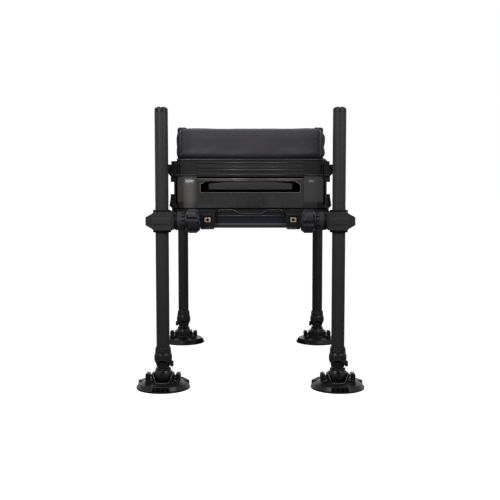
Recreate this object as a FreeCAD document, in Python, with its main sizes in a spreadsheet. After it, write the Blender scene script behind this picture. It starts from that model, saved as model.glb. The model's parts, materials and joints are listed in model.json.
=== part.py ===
# Fishing seat box on four adjustable legs, in millimetres, with every piece tied to one sheet of sizes.
# The origin is on the floor under the middle of the seat: X across, Y from front to rear, Z up.
import FreeCAD
import Part
import Sketcher
import os

V = FreeCAD.Vector

doc = FreeCAD.newDocument("SeatBox")
sheet = doc.addObject("Spreadsheet::Sheet", "Sizes")

# Driving sizes: name, value and meaning
SIZES = (
    ("box_half_x", 150, "half width of the boxes' side walls"),
    ("box_half_y", 195, "half depth of the boxes"),
    ("leg_reach_x", 16, "leg axes, outside the boxes' sides"),
    ("leg_reach_y", 35, "leg axes, in front of the boxes and behind them"),
    ("leg_r", 12.5, "leg tube, outer radius"),
    ("leg_wall", 1.5, "leg tube wall"),
    ("leg_length", 440.5, "leg tube length"),
    ("leg_ring_rise", 271, "height of the depth ring above the tube's lower end"),
    ("leg_ring_width", 1.2, "width of the depth ring"),
    ("leg_ring_depth", 0.3, "depth of the depth ring"),
    ("cap_skirt", 6.5, "leg cap, straight part of the head"),
    ("cap_rise", 4.6, "leg cap, height of the dome"),
    ("cap_plug", 18, "leg cap, plug inside the tube"),
    ("cap_slot", 3.2, "leg cap, width of the cross slot"),
    ("cap_slot_depth", 2.2, "leg cap, depth of the cross slot"),
    ("run", 0.05, "running clearance on a radius"),
    ("seat_gap", 0.3, "gap between loose neighbours"),
    ("ball_r", 18, "foot ball radius"),
    ("ball_rise", 24, "height of the ball's centre"),
    ("cup_wall", 3.6, "foot cup wall"),
    ("cup_lip", 5.2, "cup above the ball's centre"),
    ("disc_r", 51, "foot plate radius"),
    ("disc_rim", 3, "foot plate, height of the rim's side"),
    ("disc_step", 1.2, "foot plate, width of the step on its rim"),
    ("disc_brow_r", 45.6, "foot plate, radius where its sloping side ends"),
    ("disc_shoulder", 10.6, "foot plate, height inside the rim"),
    ("disc_hub", 15.4, "foot plate, height beside the cup"),
    ("arch_half", 17.5, "foot plate, half width of a rim arch"),
    ("arch_low", 1.6, "foot plate, height of a rim arch's floor"),
    ("arch_rise", 9.6, "foot plate, height of a rim arch"),
    ("arch_depth", 12, "foot plate, depth of a rim arch"),
    ("ledge_half", 16.6, "foot plate, half width of the ledge over an arch"),
    ("ledge_top", 12, "foot plate, height of the ledge over an arch"),
    ("ledge_setback", 3.6, "foot plate, ledge behind the rim"),
    ("tooth_r", 2.4, "foot plate, radius of a tooth's root"),
    ("tooth_pitch", 9, "foot plate, tooth to tooth"),
    ("apron_half", 15.6, "foot plate, half width of the flat in front of the cup"),
    ("window_top", 20, "cup window, half width at the top"),
    ("window_low", 12, "cup window, half width at the bottom"),
    ("window_sill", 12.4, "cup window, height of its lower edge"),
    ("lug_inner", 24.2, "foot lug, inner face from the axis"),
    ("lug_outer", 33.2, "foot lug, outer face from the axis"),
    ("lug_top", 28.6, "foot lug, height"),
    ("lug_half", 8.5, "foot lug, half width"),
    ("rib_half", 2.2, "foot plate, half width of a radial rib"),
    ("rib_top", 19, "foot plate, height of a radial rib"),
    ("keyhole_half", 3.6, "ball keyhole, half width"),
    ("keyhole_pin_r", 1.4, "ball keyhole, pin radius"),
    ("knuckle_rise", 46, "height of the knuckle axis"),
    ("tongue_r", 6.5, "knuckle tongue radius"),
    ("tongue_half", 8, "knuckle tongue, half thickness"),
    ("fork_gap", 0.1, "knuckle tongue to fork cheek"),
    ("cheek_r", 7, "fork cheek radius round the knuckle"),
    ("cheek_half", 13.6, "fork cheek, outer face from the axis"),
    ("screw_r", 3, "knuckle screw radius"),
    ("screw_knob_r", 5.8, "knuckle screw, knob radius"),
    ("screw_knob_length", 5.6, "knuckle screw, knob length"),
    ("ankle_rise", 78, "height of the ankle's top, where the tube stands"),
    ("ankle_top_r", 14.2, "ankle radius at its top"),
    ("collar_height", 9, "ankle collar height"),
    ("collar_flare_r", 15.2, "ankle collar, lower radius"),
    ("bulb_r", 17.1, "ankle bulb radius"),
    ("mouth_r", 13, "ankle mouth, radius of its arch"),
    ("mouth_drop", 4.5, "ankle mouth, centre of its arch below the knuckle"),
    ("mouth_band", 2.4, "ankle mouth, width of the band over its arch"),
    ("mouth_band_proud", 0.9, "ankle mouth, band proud of the bulb"),
    ("spigot_length", 24, "ankle spigot inside the tube"),
    ("stud_head_r", 3.4, "ankle retaining screw, head radius"),
    ("stud_head_reach", 18.2, "ankle retaining screw, head face from the axis"),
    ("neck_r", 13.2, "ball stem, radius under the fork"),
    ("flange_r", 15, "ball stem, radius of its flange"),
    ("clamp_rise", 317.2, "height of the clamp axis"),
    ("block_half_z", 17, "corner block, half height"),
    ("block_half_y", 19, "corner block, half depth"),
    ("block_nose", 30, "corner block, nose tip from the leg axis"),
    ("block_nose_half_z", 7.6, "corner block, nose half height"),
    ("block_nose_half_y", 9.5, "corner block, nose half depth"),
    ("block_cheek", 17, "corner block, where the nose begins"),
    ("block_cheek_half_z", 14, "corner block, half height where the nose begins"),
    ("block_inner", 23, "corner block, inner face from the leg axis"),
    ("band_half", 5.8, "raised band on the block, half height"),
    ("band_depth", 1.4, "raised band on the block, depth"),
    ("boss_r", 18, "clamp boss radius"),
    ("boss_root_r", 14.6, "clamp boss, radius at its waist"),
    ("boss_end", 36.6, "clamp boss, end from the leg axis"),
    ("insert_end", 43.2, "thread insert, end from the leg axis"),
    ("insert_r", 17, "thread insert radius"),
    ("insert_notch", 4, "thread insert, width of a notch"),
    ("bush_wall", 3, "leg bush wall"),
    ("bush_depth", 8.6, "leg bush, depth in the block"),
    ("bush_flange_r", 17, "leg bush, flange radius"),
    ("bush_flange", 4.1, "leg bush, flange thickness"),
    ("pad_r", 7, "clamp pad bore radius in the block"),
    ("pad_length", 9.5, "clamp pad length"),
    ("pad_travel", 1.5, "clamp pad travel in one turn of the knob"),
    ("stud_r", 5, "clamp stud thread radius"),
    ("knob_gap", 0.8, "knob to thread insert"),
    ("knob_length", 27, "knob length"),
    ("knob_r", 22.5, "knob radius over its lobes"),
    ("flute_r", 5, "knob, radius of the flutes between its lobes"),
    ("flute_reach", 23.8, "knob, centre of a flute from the axis"),
    ("knob_neck_r", 17.5, "knob, radius at its insert end"),
    ("knob_bevel", 6.5, "knob, length of its bevels"),
    ("beam_rise", 302.6, "height of the beams' underside"),
    ("beam_height", 23.1, "beam height"),
    ("beam_depth", 30, "cross beam depth"),
    ("beam_wall", 2.5, "beam wall"),
    ("beam_bevel", 6.4, "beam, bevel along its lower outer edge"),
    ("side_beam_width", 26, "side beam width"),
    ("arm_inner", 46, "corner arm, inner face from the leg axis"),
    ("arm_outer", 16, "corner arm, outer face from the leg axis"),
    ("arm_length", 80, "corner arm, end from the leg axis"),
    ("spigot_reach", 24, "corner arm, spigot inside a beam"),
    ("bolt_r", 3, "frame bolt radius"),
    ("bolt_head_r", 5.2, "frame bolt, head radius"),
    ("bolt_head", 2.6, "frame bolt, head height"),
    ("bolt_length", 14, "frame bolt, shank length"),
    ("deck_height", 12.5, "deck height"),
    ("deck_skin", 3, "deck skin"),
    ("deck_rim", 6, "deck rim width"),
    ("deck_plate_top", 39, "deck front plate, half width at its top"),
    ("deck_plate_low", 18, "deck front plate, half width at its bottom"),
    ("deck_step", 1.2, "deck front, depth of its lower step"),
    ("deck_line", 5.2, "deck front, height of its upper band"),
    ("bracket_inset", 82, "accessory bracket, inner face from the boxes' sides"),
    ("bracket_width", 28, "accessory bracket width"),
    ("bracket_depth", 12, "accessory bracket depth"),
    ("bracket_rise", 306.5, "height of the accessory bracket's body"),
    ("bracket_height", 23, "accessory bracket, body height"),
    ("bracket_flare", 5, "accessory bracket, flare of its top"),
    ("bracket_lip", 6.2, "accessory bracket, lip under its body"),
    ("pocket_width", 17, "accessory pocket width"),
    ("pocket_height", 14, "accessory pocket height"),
    ("pocket_depth", 7, "accessory pocket depth"),
    ("nut_width", 11.4, "accessory nut width"),
    ("nut_height", 9, "accessory nut height"),
    ("nut_depth", 5.4, "accessory nut depth"),
    ("nut_thread_r", 3, "accessory nut, thread radius"),
    ("plinth_height", 2.5, "case floor thickness, seen as the dark gap"),
    ("plinth_inset", 8, "case floor, set back from the front"),
    ("case_height", 60.5, "drawer case height"),
    ("post_width", 38, "corner posts, width"),
    ("post_setback", 9.5, "corner posts, set back from the boxes' sides"),
    ("post_facet", 12, "corner posts, width of their facet"),
    ("post_facet_depth", 8, "corner posts, depth of their facet"),
    ("post_depth", 34, "corner posts, depth"),
    ("post_wall", 3, "corner posts, wall"),
    ("side_ledge", 8, "case side, height of its top ledge"),
    ("side_ledge_reach", 1, "case side, top ledge proud of its foot"),
    ("side_foot", 3.5, "case side, height of its foot"),
    ("side_waist", 3, "case side, set-back of its waist"),
    ("side_wall", 3, "case side, wall"),
    ("side_inset", 7, "case side, set back from the front and rear"),
    ("panel_thickness", 4, "case back thickness"),
    ("front_gap", 3.6, "gap above the drawer front"),
    ("front_depth", 26, "drawer front depth"),
    ("front_wall", 3, "drawer front wall"),
    ("grip_margin", 6.5, "grip pocket to the corner posts"),
    ("grip_low", 370.6, "height of the grip pocket's lower edge"),
    ("grip_high", 393, "height of the grip pocket's upper edge"),
    ("grip_bevel", 7, "grip pocket, bevel of its upper corners"),
    ("handle_half", 80, "handle half length"),
    ("handle_low", 376.6, "height of the handle's lower edge"),
    ("handle_height", 14.2, "handle height"),
    ("handle_face", 8.6, "handle, height of its front face under the rebate"),
    ("handle_thick", 5, "handle thickness"),
    ("handle_arch", 2, "handle, rise of its middle"),
    ("handle_foot", 7, "handle, width of its feet"),
    ("drawer_rear_gap", 30, "drawer tray to the case's back"),
    ("drawer_wall", 2.5, "drawer tray wall"),
    ("drawer_height", 46, "drawer tray height"),
    ("runner_thick", 1.8, "drawer runner thickness"),
    ("runner_height", 16, "drawer runner height"),
    ("runner_foot", 12, "drawer runner, width of its foot"),
    ("tray_height", 29.5, "tray height"),
    ("casting_proud", 2, "tray castings, proud of the boxes' sides"),
    ("casting_arm", 49.5, "tray casting, length of its arms"),
    ("casting_wall", 11, "tray casting wall"),
    ("slot_width", 2, "tray casting, width of a slot"),
    ("slot_depth", 7, "tray casting, depth of a slot"),
    ("rail_thick", 9, "tray rail thickness"),
    ("rail_groove", 1.6, "tray rail, depth of its grooves"),
    ("rail_setback", 1, "side rails, set back from the castings"),
    ("pan_wall", 2.5, "tray pan wall"),
    ("pan_height", 25, "tray pan height"),
    ("board_thickness", 5.3, "cushion board thickness"),
    ("board_inset_x", 7.7, "cushion board, set back from the boxes' sides"),
    ("board_inset_y", 7, "cushion board, set back from the boxes' front and rear"),
    ("cushion_height", 54.4, "cushion height"),
    ("cushion_inset_x", 8.5, "cushion, set back from the boxes' sides"),
    ("cushion_inset_y", 5.5, "cushion, set back from the boxes' front and rear"),
    ("cushion_round", 14, "cushion, radius of its top edges"),
    ("cushion_corner", 10, "cushion, radius of its upright corners"),
    ("hinge_pin_r", 1.8, "lid hinge, pin radius"),
    ("hinge_r", 3.9, "lid hinge, barrel radius"),
    ("hinge_inset", 83, "lid hinge, middle from the boxes' front and rear"),
    ("hinge_knuckle", 14, "lid hinge, knuckle length"),
    ("hinge_leaf", 22, "lid hinge, height of its fixed leaf"),
    ("hinge_leaf_thick", 2, "lid hinge, leaf thickness"),
    ("catch_inset", 28, "catches, middle from the boxes' front and rear"),
    ("catch_half", 14, "catch, half length"),
    ("catch_pin_r", 1.8, "catch, pin radius"),
    ("catch_eye_r", 3.4, "catch, radius round its pin"),
    ("catch_ear", 4, "catch ear, thickness"),
    ("tray_catch_drop", 9.5, "tray catch, pin below the tray's top"),
    ("tray_catch_tail", 30, "tray catch, length below its pin"),
    ("tray_catch_grip", 13.5, "tray catch, length of its grip"),
    ("case_catch_drop", 37, "case catch, pin below the case's top"),
    ("case_catch_tail", 33, "case catch, length below its pin"),
    ("case_catch_grip", 19, "case catch, length of its grip"),
    ("tray_catch_proud", 5.5, "tray catch, grip proud of its plate"),
    ("case_catch_proud", 5, "case catch, grip proud of its plate"),
    ("catch_plate", 1.8, "catch, plate thickness"),
)


class Size:
    """A length that carries its expression on the sheet together with its present value."""

    def __init__(self, text, value):
        self.text = text
        self.value = float(value)

    def __float__(self):
        return self.value

    def joined(self, sign, other, swapped=False):
        left, right = (other, self) if swapped else (self, other)
        texts = [side.text if isinstance(side, Size) else repr(side) for side in (left, right)]
        a, b = float(left), float(right)
        value = {"+": lambda: a + b, "-": lambda: a - b, "*": lambda: a * b, "/": lambda: a / b}[sign]()
        return Size("(%s %s %s)" % (texts[0], sign, texts[1]), value)

    def __add__(self, other):
        return self.joined("+", other)

    def __radd__(self, other):
        return self.joined("+", other, True)

    def __sub__(self, other):
        return self.joined("-", other)

    def __rsub__(self, other):
        return self.joined("-", other, True)

    def __mul__(self, other):
        return self.joined("*", other)

    def __rmul__(self, other):
        return self.joined("*", other, True)

    def __truediv__(self, other):
        return self.joined("/", other)

    def __neg__(self):
        return self.joined("*", -1)


class Sheet:
    """Gives each size of the sheet by its name."""

    def __init__(self, rows):
        for row, (name, value, meaning) in enumerate(rows, 1):
            sheet.set("A%d" % row, name)
            sheet.set("B%d" % row, str(value))
            sheet.setAlias("B%d" % row, name)
            sheet.set("C%d" % row, meaning)
            setattr(self, name, Size("Sizes." + name, value))


s = Sheet(SIZES)
doc.recompute()

TURN_TO = {
    "x": FreeCAD.Rotation(V(0, 1, 0), 90),
    "y": FreeCAD.Rotation(V(1, 0, 0), -90),
    "z": FreeCAD.Rotation(),
}
PLANES = {
    "xy": (FreeCAD.Rotation(), V(0, 0, 1), "z"),
    "xz": (FreeCAD.Rotation(V(1, 0, 0), 90), V(0, 1, 0), "y"),
    "yz": (FreeCAD.Rotation(V(1, 1, 1), 120), V(1, 0, 0), "x"),
}


def bind(thing, path, length):
    """Ties one property to the sheet, or sets it when it is a plain number."""
    if isinstance(length, Size):
        thing.setExpression(path, length.text)
    elif path.startswith("Placement.Base."):
        base = V(thing.Placement.Base)
        setattr(base, path[-1], float(length))
        thing.Placement.Base = base
    else:
        setattr(thing, path, float(length))


def put(thing, **places):
    """Moves a piece along the named axes."""
    for axis, length in places.items():
        bind(thing, "Placement.Base." + axis, length)
    return thing


def box(name, x, y, z):
    """A block between two places along each axis."""
    block = doc.addObject("Part::Box", name)
    for path, (low, high) in zip(("Length", "Width", "Height"), (x, y, z)):
        bind(block, path, high - low)
    return put(block, x=x[0], y=y[0], z=z[0])


def rod(name, radius, axis, span, centre):
    """A round bar along one axis; centre gives its place on the other two axes in order."""
    bar = doc.addObject("Part::Cylinder", name)
    bar.Placement.Rotation = TURN_TO[axis]
    bind(bar, "Radius", radius)
    bind(bar, "Height", span[1] - span[0])
    places = dict(zip([other for other in "xyz" if other != axis], centre))
    places[axis] = span[0]
    return put(bar, **places)


def ball(name, radius, height):
    sphere = doc.addObject("Part::Sphere", name)
    bind(sphere, "Radius", radius)
    return put(sphere, z=height)


def draw(outline, corners):
    """Draws a closed outline of straight edges, each corner tied to the sheet."""
    count = len(corners)
    points = [V(float(a), float(b), 0) for a, b in corners]
    for index, start in enumerate(points):
        outline.addGeometry(Part.LineSegment(start, points[(index + 1) % count]))
    for index in range(count):
        outline.addConstraint(Sketcher.Constraint("Coincident", index, 2, (index + 1) % count, 1))
    for index, corner in enumerate(corners):
        for kind, length in zip(("DistanceX", "DistanceY"), corner):
            number = outline.addConstraint(Sketcher.Constraint(kind, index, 1, float(length)))
            if isinstance(length, Size):
                outline.setExpression("Constraints[%d]" % number, length.text)
    return outline


def prism(name, plane, corners, span):
    """An outline drawn in a plane and extruded along the plane's normal from span[0] to span[1]."""
    turn, direction, axis = PLANES[plane]
    outline = draw(doc.addObject("Sketcher::SketchObject", name + "_outline"), corners)
    outline.Placement.Rotation = turn
    put(outline, **{axis: span[0]})
    solid = doc.addObject("Part::Extrusion", name)
    solid.Base = outline
    solid.DirMode = "Custom"
    solid.Dir = direction
    solid.Solid = True
    bind(solid, "LengthFwd", span[1] - span[0])
    return solid


def lathe(name, corners, axis="z"):
    """A turned solid: corners give (radius, height) about Z, or (place, radius) about X."""
    outline = draw(doc.addObject("Sketcher::SketchObject", name + "_outline"), corners)
    if axis == "z":
        outline.Placement.Rotation = PLANES["xz"][0]
    solid = doc.addObject("Part::Revolution", name)
    solid.Source = outline
    solid.Axis = V(0, 0, 1) if axis == "z" else V(1, 0, 0)
    solid.Angle = 360
    solid.Solid = True
    return solid


def fuse(name, *parts):
    union = doc.addObject("Part::MultiFuse", name)
    union.Shapes = list(parts)
    union.Refine = True
    return union


def common(name, *parts):
    shared = doc.addObject("Part::MultiCommon", name)
    shared.Shapes = list(parts)
    shared.Refine = True
    return shared


def cut(name, base, *tools):
    rest = doc.addObject("Part::Cut", name)
    rest.Base = base
    rest.Tool = tools[0] if len(tools) == 1 else group(name + "_tools", *tools)
    rest.Refine = True
    return rest


def group(name, *parts):
    bundle = doc.addObject("Part::Compound", name)
    bundle.Links = list(parts)
    return bundle


def mirrored(name, part, axis):
    image = doc.addObject("Part::Mirroring", name)
    image.Source = part
    image.Normal = {"x": V(1, 0, 0), "y": V(0, 1, 0)}[axis]
    return image


def both_ways(name, part, axis):
    """A piece and its mirror image across the middle."""
    return group(name, part, mirrored(name + "_image", part, axis))


def placed(name, part, x=0, y=0, z=0, turn=0):
    """A copy of a piece, turned about Z and moved to its place."""
    copy = group(name, part)
    copy.Placement.Rotation = FreeCAD.Rotation(V(0, 0, 1), turn)
    return put(copy, x=x, y=y, z=z)


def ring_of(name, part, count, first=0, about=V(0, 0, 1)):
    """Equal copies of a piece round an axis through the origin."""
    copies = []
    for index in range(count):
        copy = group("%s_%d" % (name, index), part)
        copy.Placement.Rotation = FreeCAD.Rotation(about, first + 360.0 * index / count)
        copies.append(copy)
    return group(name, *copies)


def softened(name, base, radius, chosen):
    """Rounds the edges that the test picks, by a radius of the sheet."""
    doc.recompute()
    rounding = doc.addObject("Part::Fillet", name)
    rounding.Base = base
    picked = [number for number, edge in enumerate(base.Shape.Edges, 1) if chosen(edge)]
    rounding.Edges = [(number, float(radius), float(radius)) for number in picked]
    return rounding


def keep(part, label):
    """Names a finished piece; its label is the name of its file."""
    part.Label = label
    pieces.append(part)
    return part


pieces = []
CORNERS = {
    "front_left": (-1, -1),
    "front_right": (1, -1),
    "rear_left": (-1, 1),
    "rear_right": (1, 1),
}

# Heights of the stack above the floor
deck_rise = s.beam_rise + s.beam_height
plinth_rise = deck_rise + s.deck_height
case_rise = plinth_rise + s.plinth_height
tray_rise = case_rise + s.case_height
board_rise = tray_rise + s.tray_height
cushion_rise = board_rise + s.board_thickness
tube_top = s.ankle_rise + s.leg_length
bore_r = s.leg_r - s.leg_wall

# Places that follow the boxes' footprint
leg_x = s.box_half_x + s.leg_reach_x
leg_y = s.box_half_y + s.leg_reach_y
tray_half = s.box_half_x + s.casting_proud
post_outer = s.box_half_x - s.post_setback
post_inner = post_outer - s.post_width
grip_half = post_inner - s.grip_margin
board_half_x = s.box_half_x - s.board_inset_x
hinge_y = s.box_half_y - s.hinge_inset
catch_y = s.box_half_y - s.catch_inset
bracket_inner = s.box_half_x - s.bracket_inset

# Walls and heights that carry the catches
rail_face = tray_half - s.rail_setback
tray_catch_rise = board_rise - s.tray_catch_drop
case_catch_rise = tray_rise - s.case_catch_drop


def make_leg_tube():
    tube = cut(
        "TubeBore",
        rod("TubeOuter", s.leg_r, "z", (s.ankle_rise, tube_top), (0, 0)),
        rod("TubeInner", bore_r, "z", (s.ankle_rise, tube_top), (0, 0)),
    )
    ring_low = s.ankle_rise + s.leg_ring_rise
    ring_span = (ring_low, ring_low + s.leg_ring_width)
    ring = cut(
        "RingCutter",
        rod("RingOuter", s.leg_r * 1.2, "z", ring_span, (0, 0)),
        rod("RingInner", s.leg_r - s.leg_ring_depth, "z", ring_span, (0, 0)),
    )
    return cut("LegTube", tube, ring)


def make_leg_cap():
    head_top = tube_top + s.cap_skirt + s.cap_rise
    head = lathe("CapHead", (
        (0, tube_top), (s.leg_r, tube_top), (s.leg_r, tube_top + s.cap_skirt),
        (s.leg_r - s.cap_rise * 0.3, tube_top + s.cap_skirt + s.cap_rise * 0.55),
        (s.leg_r - s.cap_rise, tube_top + s.cap_skirt + s.cap_rise * 0.9),
        (s.leg_r * 0.35, head_top), (0, head_top),
    ))
    plug = rod("CapPlug", bore_r - s.run, "z", (tube_top - s.cap_plug, tube_top), (0, 0))
    slots = []
    for index, axis in enumerate("xy"):
        half = s.cap_slot / 2
        spans = {axis: (-s.leg_r, s.leg_r), "yx"[index]: (-half, half)}
        slots.append(
            box("CapSlot_" + axis, spans["x"], spans["y"], (head_top - s.cap_slot_depth, head_top + s.run)),
        )
    return cut("LegCap", fuse("CapBody", head, plug), *slots)


def make_ankle():
    low = s.knuckle_rise - s.cheek_r
    waist = s.ankle_rise - s.collar_height
    profile = lathe("AnkleProfile", (
        (0, low), (s.cheek_half - 2.6, low), (s.cheek_half - 0.8, low + 2.6), (s.cheek_half, s.knuckle_rise),
        (s.bulb_r - 0.5, s.knuckle_rise + 6), (s.bulb_r, s.knuckle_rise + 12),
        (s.bulb_r - 0.6, waist - 5), (s.collar_flare_r - 0.4, waist - 1.2),
        (s.collar_flare_r, waist - 0.4), (s.collar_flare_r, waist + 1.4),
        (s.ankle_top_r, s.ankle_rise), (0, s.ankle_rise),
    ))
    reach = s.bulb_r + 3
    room = fuse(
        "AnkleRoom",
        cut(
            "AnkleHood",
            box("AnkleAbove", (-reach, reach), (-reach, reach), (s.knuckle_rise, s.ankle_rise)),
            rod("AnkleMouth", s.mouth_r, "y", (-reach, reach), (0, s.knuckle_rise - s.mouth_drop)),
        ),
        rod("AnkleCheeks", s.cheek_r, "x", (-reach, reach), (0, s.knuckle_rise)),
    )
    spigot = rod(
        "AnkleSpigot", bore_r - s.run, "z", (s.ankle_rise - 1, s.ankle_rise + s.spigot_length),
        (0, 0),
    )
    head = rod("AnkleScrewHead", s.stud_head_r, "y", (-s.stud_head_reach, 0), (0, waist + 0.4))
    dimple = rod(
        "AnkleScrewSocket", s.stud_head_r * 0.5, "y",
        (-s.stud_head_reach - 1, 2 - s.stud_head_reach), (0, waist + 0.4),
    )
    slot_half = s.tongue_half + s.fork_gap
    slot_top = s.knuckle_rise + s.tongue_r + 1
    slot = box("AnkleSlot", (-slot_half, slot_half), (-reach, reach), (low - 1, slot_top))
    hole = rod("AnkleScrewHole", s.screw_r + s.run, "x", (-reach, reach), (0, s.knuckle_rise))
    face = rod("AnkleSpotFace", s.screw_knob_r + s.seat_gap, "x", (s.cheek_half, reach), (0, s.knuckle_rise))
    arch_z = s.knuckle_rise - s.mouth_drop
    band_ring = cut(
        "AnkleBandRing",
        rod("AnkleBandOuter", s.mouth_r + s.mouth_band, "y", (-reach, reach), (0, arch_z)),
        rod("AnkleBandInner", s.mouth_r, "y", (-reach, reach), (0, arch_z)),
    )
    band_r = s.bulb_r + s.mouth_band_proud
    band_form = common(
        "AnkleBandForm", band_ring,
        rod("AnkleBandReach", band_r, "z", (s.knuckle_rise + s.mouth_r * 0.35, waist), (0, 0)),
    )
    body = fuse("AnkleBody", common("AnkleForm", profile, room), spigot, head, band_form)
    return cut("Ankle", body, dimple, slot, hole, face)


def make_knuckle_screw():
    seat = s.cheek_half + s.seat_gap
    shank = rod("ScrewShank", s.screw_r, "x", (-s.cheek_half + 1, seat), (0, s.knuckle_rise))
    end = seat + s.screw_knob_length
    knob = lathe("ScrewKnobForm", (
        (seat, 0), (seat, s.screw_knob_r - 0.8), (seat + 0.8, s.screw_knob_r),
        (end - 0.8, s.screw_knob_r), (end, s.screw_knob_r - 0.8), (end, 0),
    ), "x")
    knob = put(knob, z=s.knuckle_rise)
    flute = rod("ScrewFlute", 1.1, "x", (seat - 1, end + 1), (0, s.screw_knob_r + 0.3))
    flutes = put(ring_of("ScrewFlutes", flute, 10, about=V(1, 0, 0)), z=s.knuckle_rise)
    return fuse("KnuckleScrew", shank, cut("ScrewKnob", knob, flutes))


def make_ball_stem():
    top = s.knuckle_rise - s.cheek_r - s.seat_gap
    flange_low = s.ball_rise + s.ball_r * 0.68
    neck = lathe("StemNeck", (
        (0, s.ball_rise), (s.neck_r - 1, s.ball_rise), (s.neck_r, flange_low), (s.flange_r, flange_low),
        (s.flange_r, flange_low + 1.1), (s.neck_r, top - 0.4), (s.neck_r - 0.8, top), (0, top),
    ))
    sphere = ball("StemBall", s.ball_r, s.ball_rise)
    reach = s.ball_r + 2
    below = box("BallKept", (-reach, reach), (-reach, reach), (s.ball_rise * 0.2, flange_low + 0.5))
    tongue = fuse(
        "StemTongue",
        rod("TongueEye", s.tongue_r, "x", (-s.tongue_half, s.tongue_half), (0, s.knuckle_rise)),
        box(
            "TongueWeb", (-s.tongue_half, s.tongue_half), (-s.tongue_r, s.tongue_r),
            (top - 1, s.knuckle_rise),
        ),
    )
    hole = rod("TongueHole", s.screw_r + s.run, "x", (-s.neck_r, s.neck_r), (0, s.knuckle_rise))
    key_high = s.ball_rise + s.ball_r * 0.55
    key_low = s.ball_rise + s.keyhole_half * 0.35
    key_span = (-s.ball_r - 1, 5 - s.ball_r)
    keyhole = fuse(
        "Keyhole",
        rod("KeyholeRound", s.keyhole_half, "y", key_span, (0, key_low)),
        box("KeyholeSlot", (-s.keyhole_half, s.keyhole_half), key_span, (key_low, key_high)),
    )
    pin = rod("KeyholePin", s.keyhole_pin_r, "y", (2.4 - s.ball_r, 6 - s.ball_r), (0, s.ball_rise))
    body = fuse("StemBody", neck, common("BallTrimmed", sphere, below), tongue)
    return fuse("BallStem", cut("StemCut", body, hole, keyhole), pin)


def make_foot_plate():
    cup_r = s.ball_r + s.seat_gap
    wall_r = cup_r + s.cup_wall
    lip = s.ball_rise + s.cup_lip
    disc = lathe("DiscProfile", (
        (0, 0), (s.disc_r, 0), (s.disc_r, s.disc_rim), (s.disc_r - s.disc_step, s.disc_rim + 0.6),
        (s.disc_brow_r, s.disc_shoulder - 0.6), (s.disc_brow_r - 1.2, s.disc_shoulder),
        (s.disc_brow_r - 2.6, s.disc_shoulder - 0.5), (s.lug_outer, s.disc_hub - 1.6),
        (wall_r + 3, s.disc_hub),
        (wall_r, s.disc_hub + 2), (wall_r, lip - 2), (wall_r - 1.6, lip), (0, lip),
    ))
    lug = prism("FootLug", "xz", (
        (s.lug_inner - 3, s.disc_hub - 3), (s.lug_outer, s.disc_hub - 3), (s.lug_outer, s.lug_top - 2.4),
        (s.lug_outer - 2.4, s.lug_top), (s.lug_inner + 2, s.lug_top), (s.lug_inner, s.lug_top - 2),
        (s.lug_inner, s.disc_hub + 4), (s.lug_inner - 3, s.disc_hub + 2),
    ), (-s.lug_half, s.lug_half))
    rib = box(
        "FootRib", (wall_r - 1, s.disc_r - 9), (-s.rib_half, s.rib_half),
        (s.disc_shoulder - 3, s.rib_top),
    )
    ribs = ring_of("FootRibs", rib, 4, first=45)
    ledge = prism("ArchLedge", "xz", (
        (-s.ledge_half, s.disc_rim), (s.ledge_half, s.disc_rim), (s.ledge_half - 1.4, s.ledge_top),
        (1.4 - s.ledge_half, s.ledge_top),
    ), (s.ledge_setback - s.disc_r, 1 - wall_r))
    ledges = ring_of("ArchLedges", ledge, 3)
    cavity = ball("CupCavity", cup_r, s.ball_rise)
    mouth = rod("CupMouth", s.ball_r - 0.6, "z", (s.ball_rise + 4, lip + 6), (0, 0))
    window = prism("CupWindow", "xz", (
        (-s.window_low, s.window_sill), (s.window_low, s.window_sill),
        (s.window_top, lip + 3), (-s.window_top, lip + 3),
    ), (-wall_r - 6, 2 - s.ball_r * 0.5))
    arch = prism("RimArch", "xz", (
        (-s.arch_half, s.arch_low), (s.arch_half, s.arch_low), (s.arch_half - 1, s.arch_rise * 0.45),
        (s.arch_half - 4.5, s.arch_rise), (4.5 - s.arch_half, s.arch_rise),
        (1 - s.arch_half, s.arch_rise * 0.45),
    ), (-s.disc_r - 2, s.arch_depth - s.disc_r))
    arches = ring_of("RimArches", arch, 3)
    reach = s.disc_r + 2
    apron = box("FootApron", (-s.apron_half, s.apron_half), (-reach, 1 - wall_r), (s.window_sill, lip + 3))
    form = fuse("FootForm", disc, both_ways("FootLugs", lug, "x"), ribs, ledges)
    body = cut("FootBody", form, cavity, mouth, window, apron, arches)
    root = s.arch_rise + 0.6
    tooth = lathe("ToothForm", ((0, 1), (s.tooth_r * 0.6, 1), (s.tooth_r, root), (0, root)))
    tooth_y = s.ledge_setback + s.tooth_r + 0.4 - s.disc_r
    trio = group(
        "ToothTrio",
        put(group("ToothLeft", tooth), x=-s.tooth_pitch, y=tooth_y),
        put(group("ToothMiddle", tooth), y=tooth_y),
        put(group("ToothRight", tooth), x=s.tooth_pitch, y=tooth_y),
    )
    return fuse("FootPlate", body, ring_of("Teeth", trio, 3))


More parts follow.
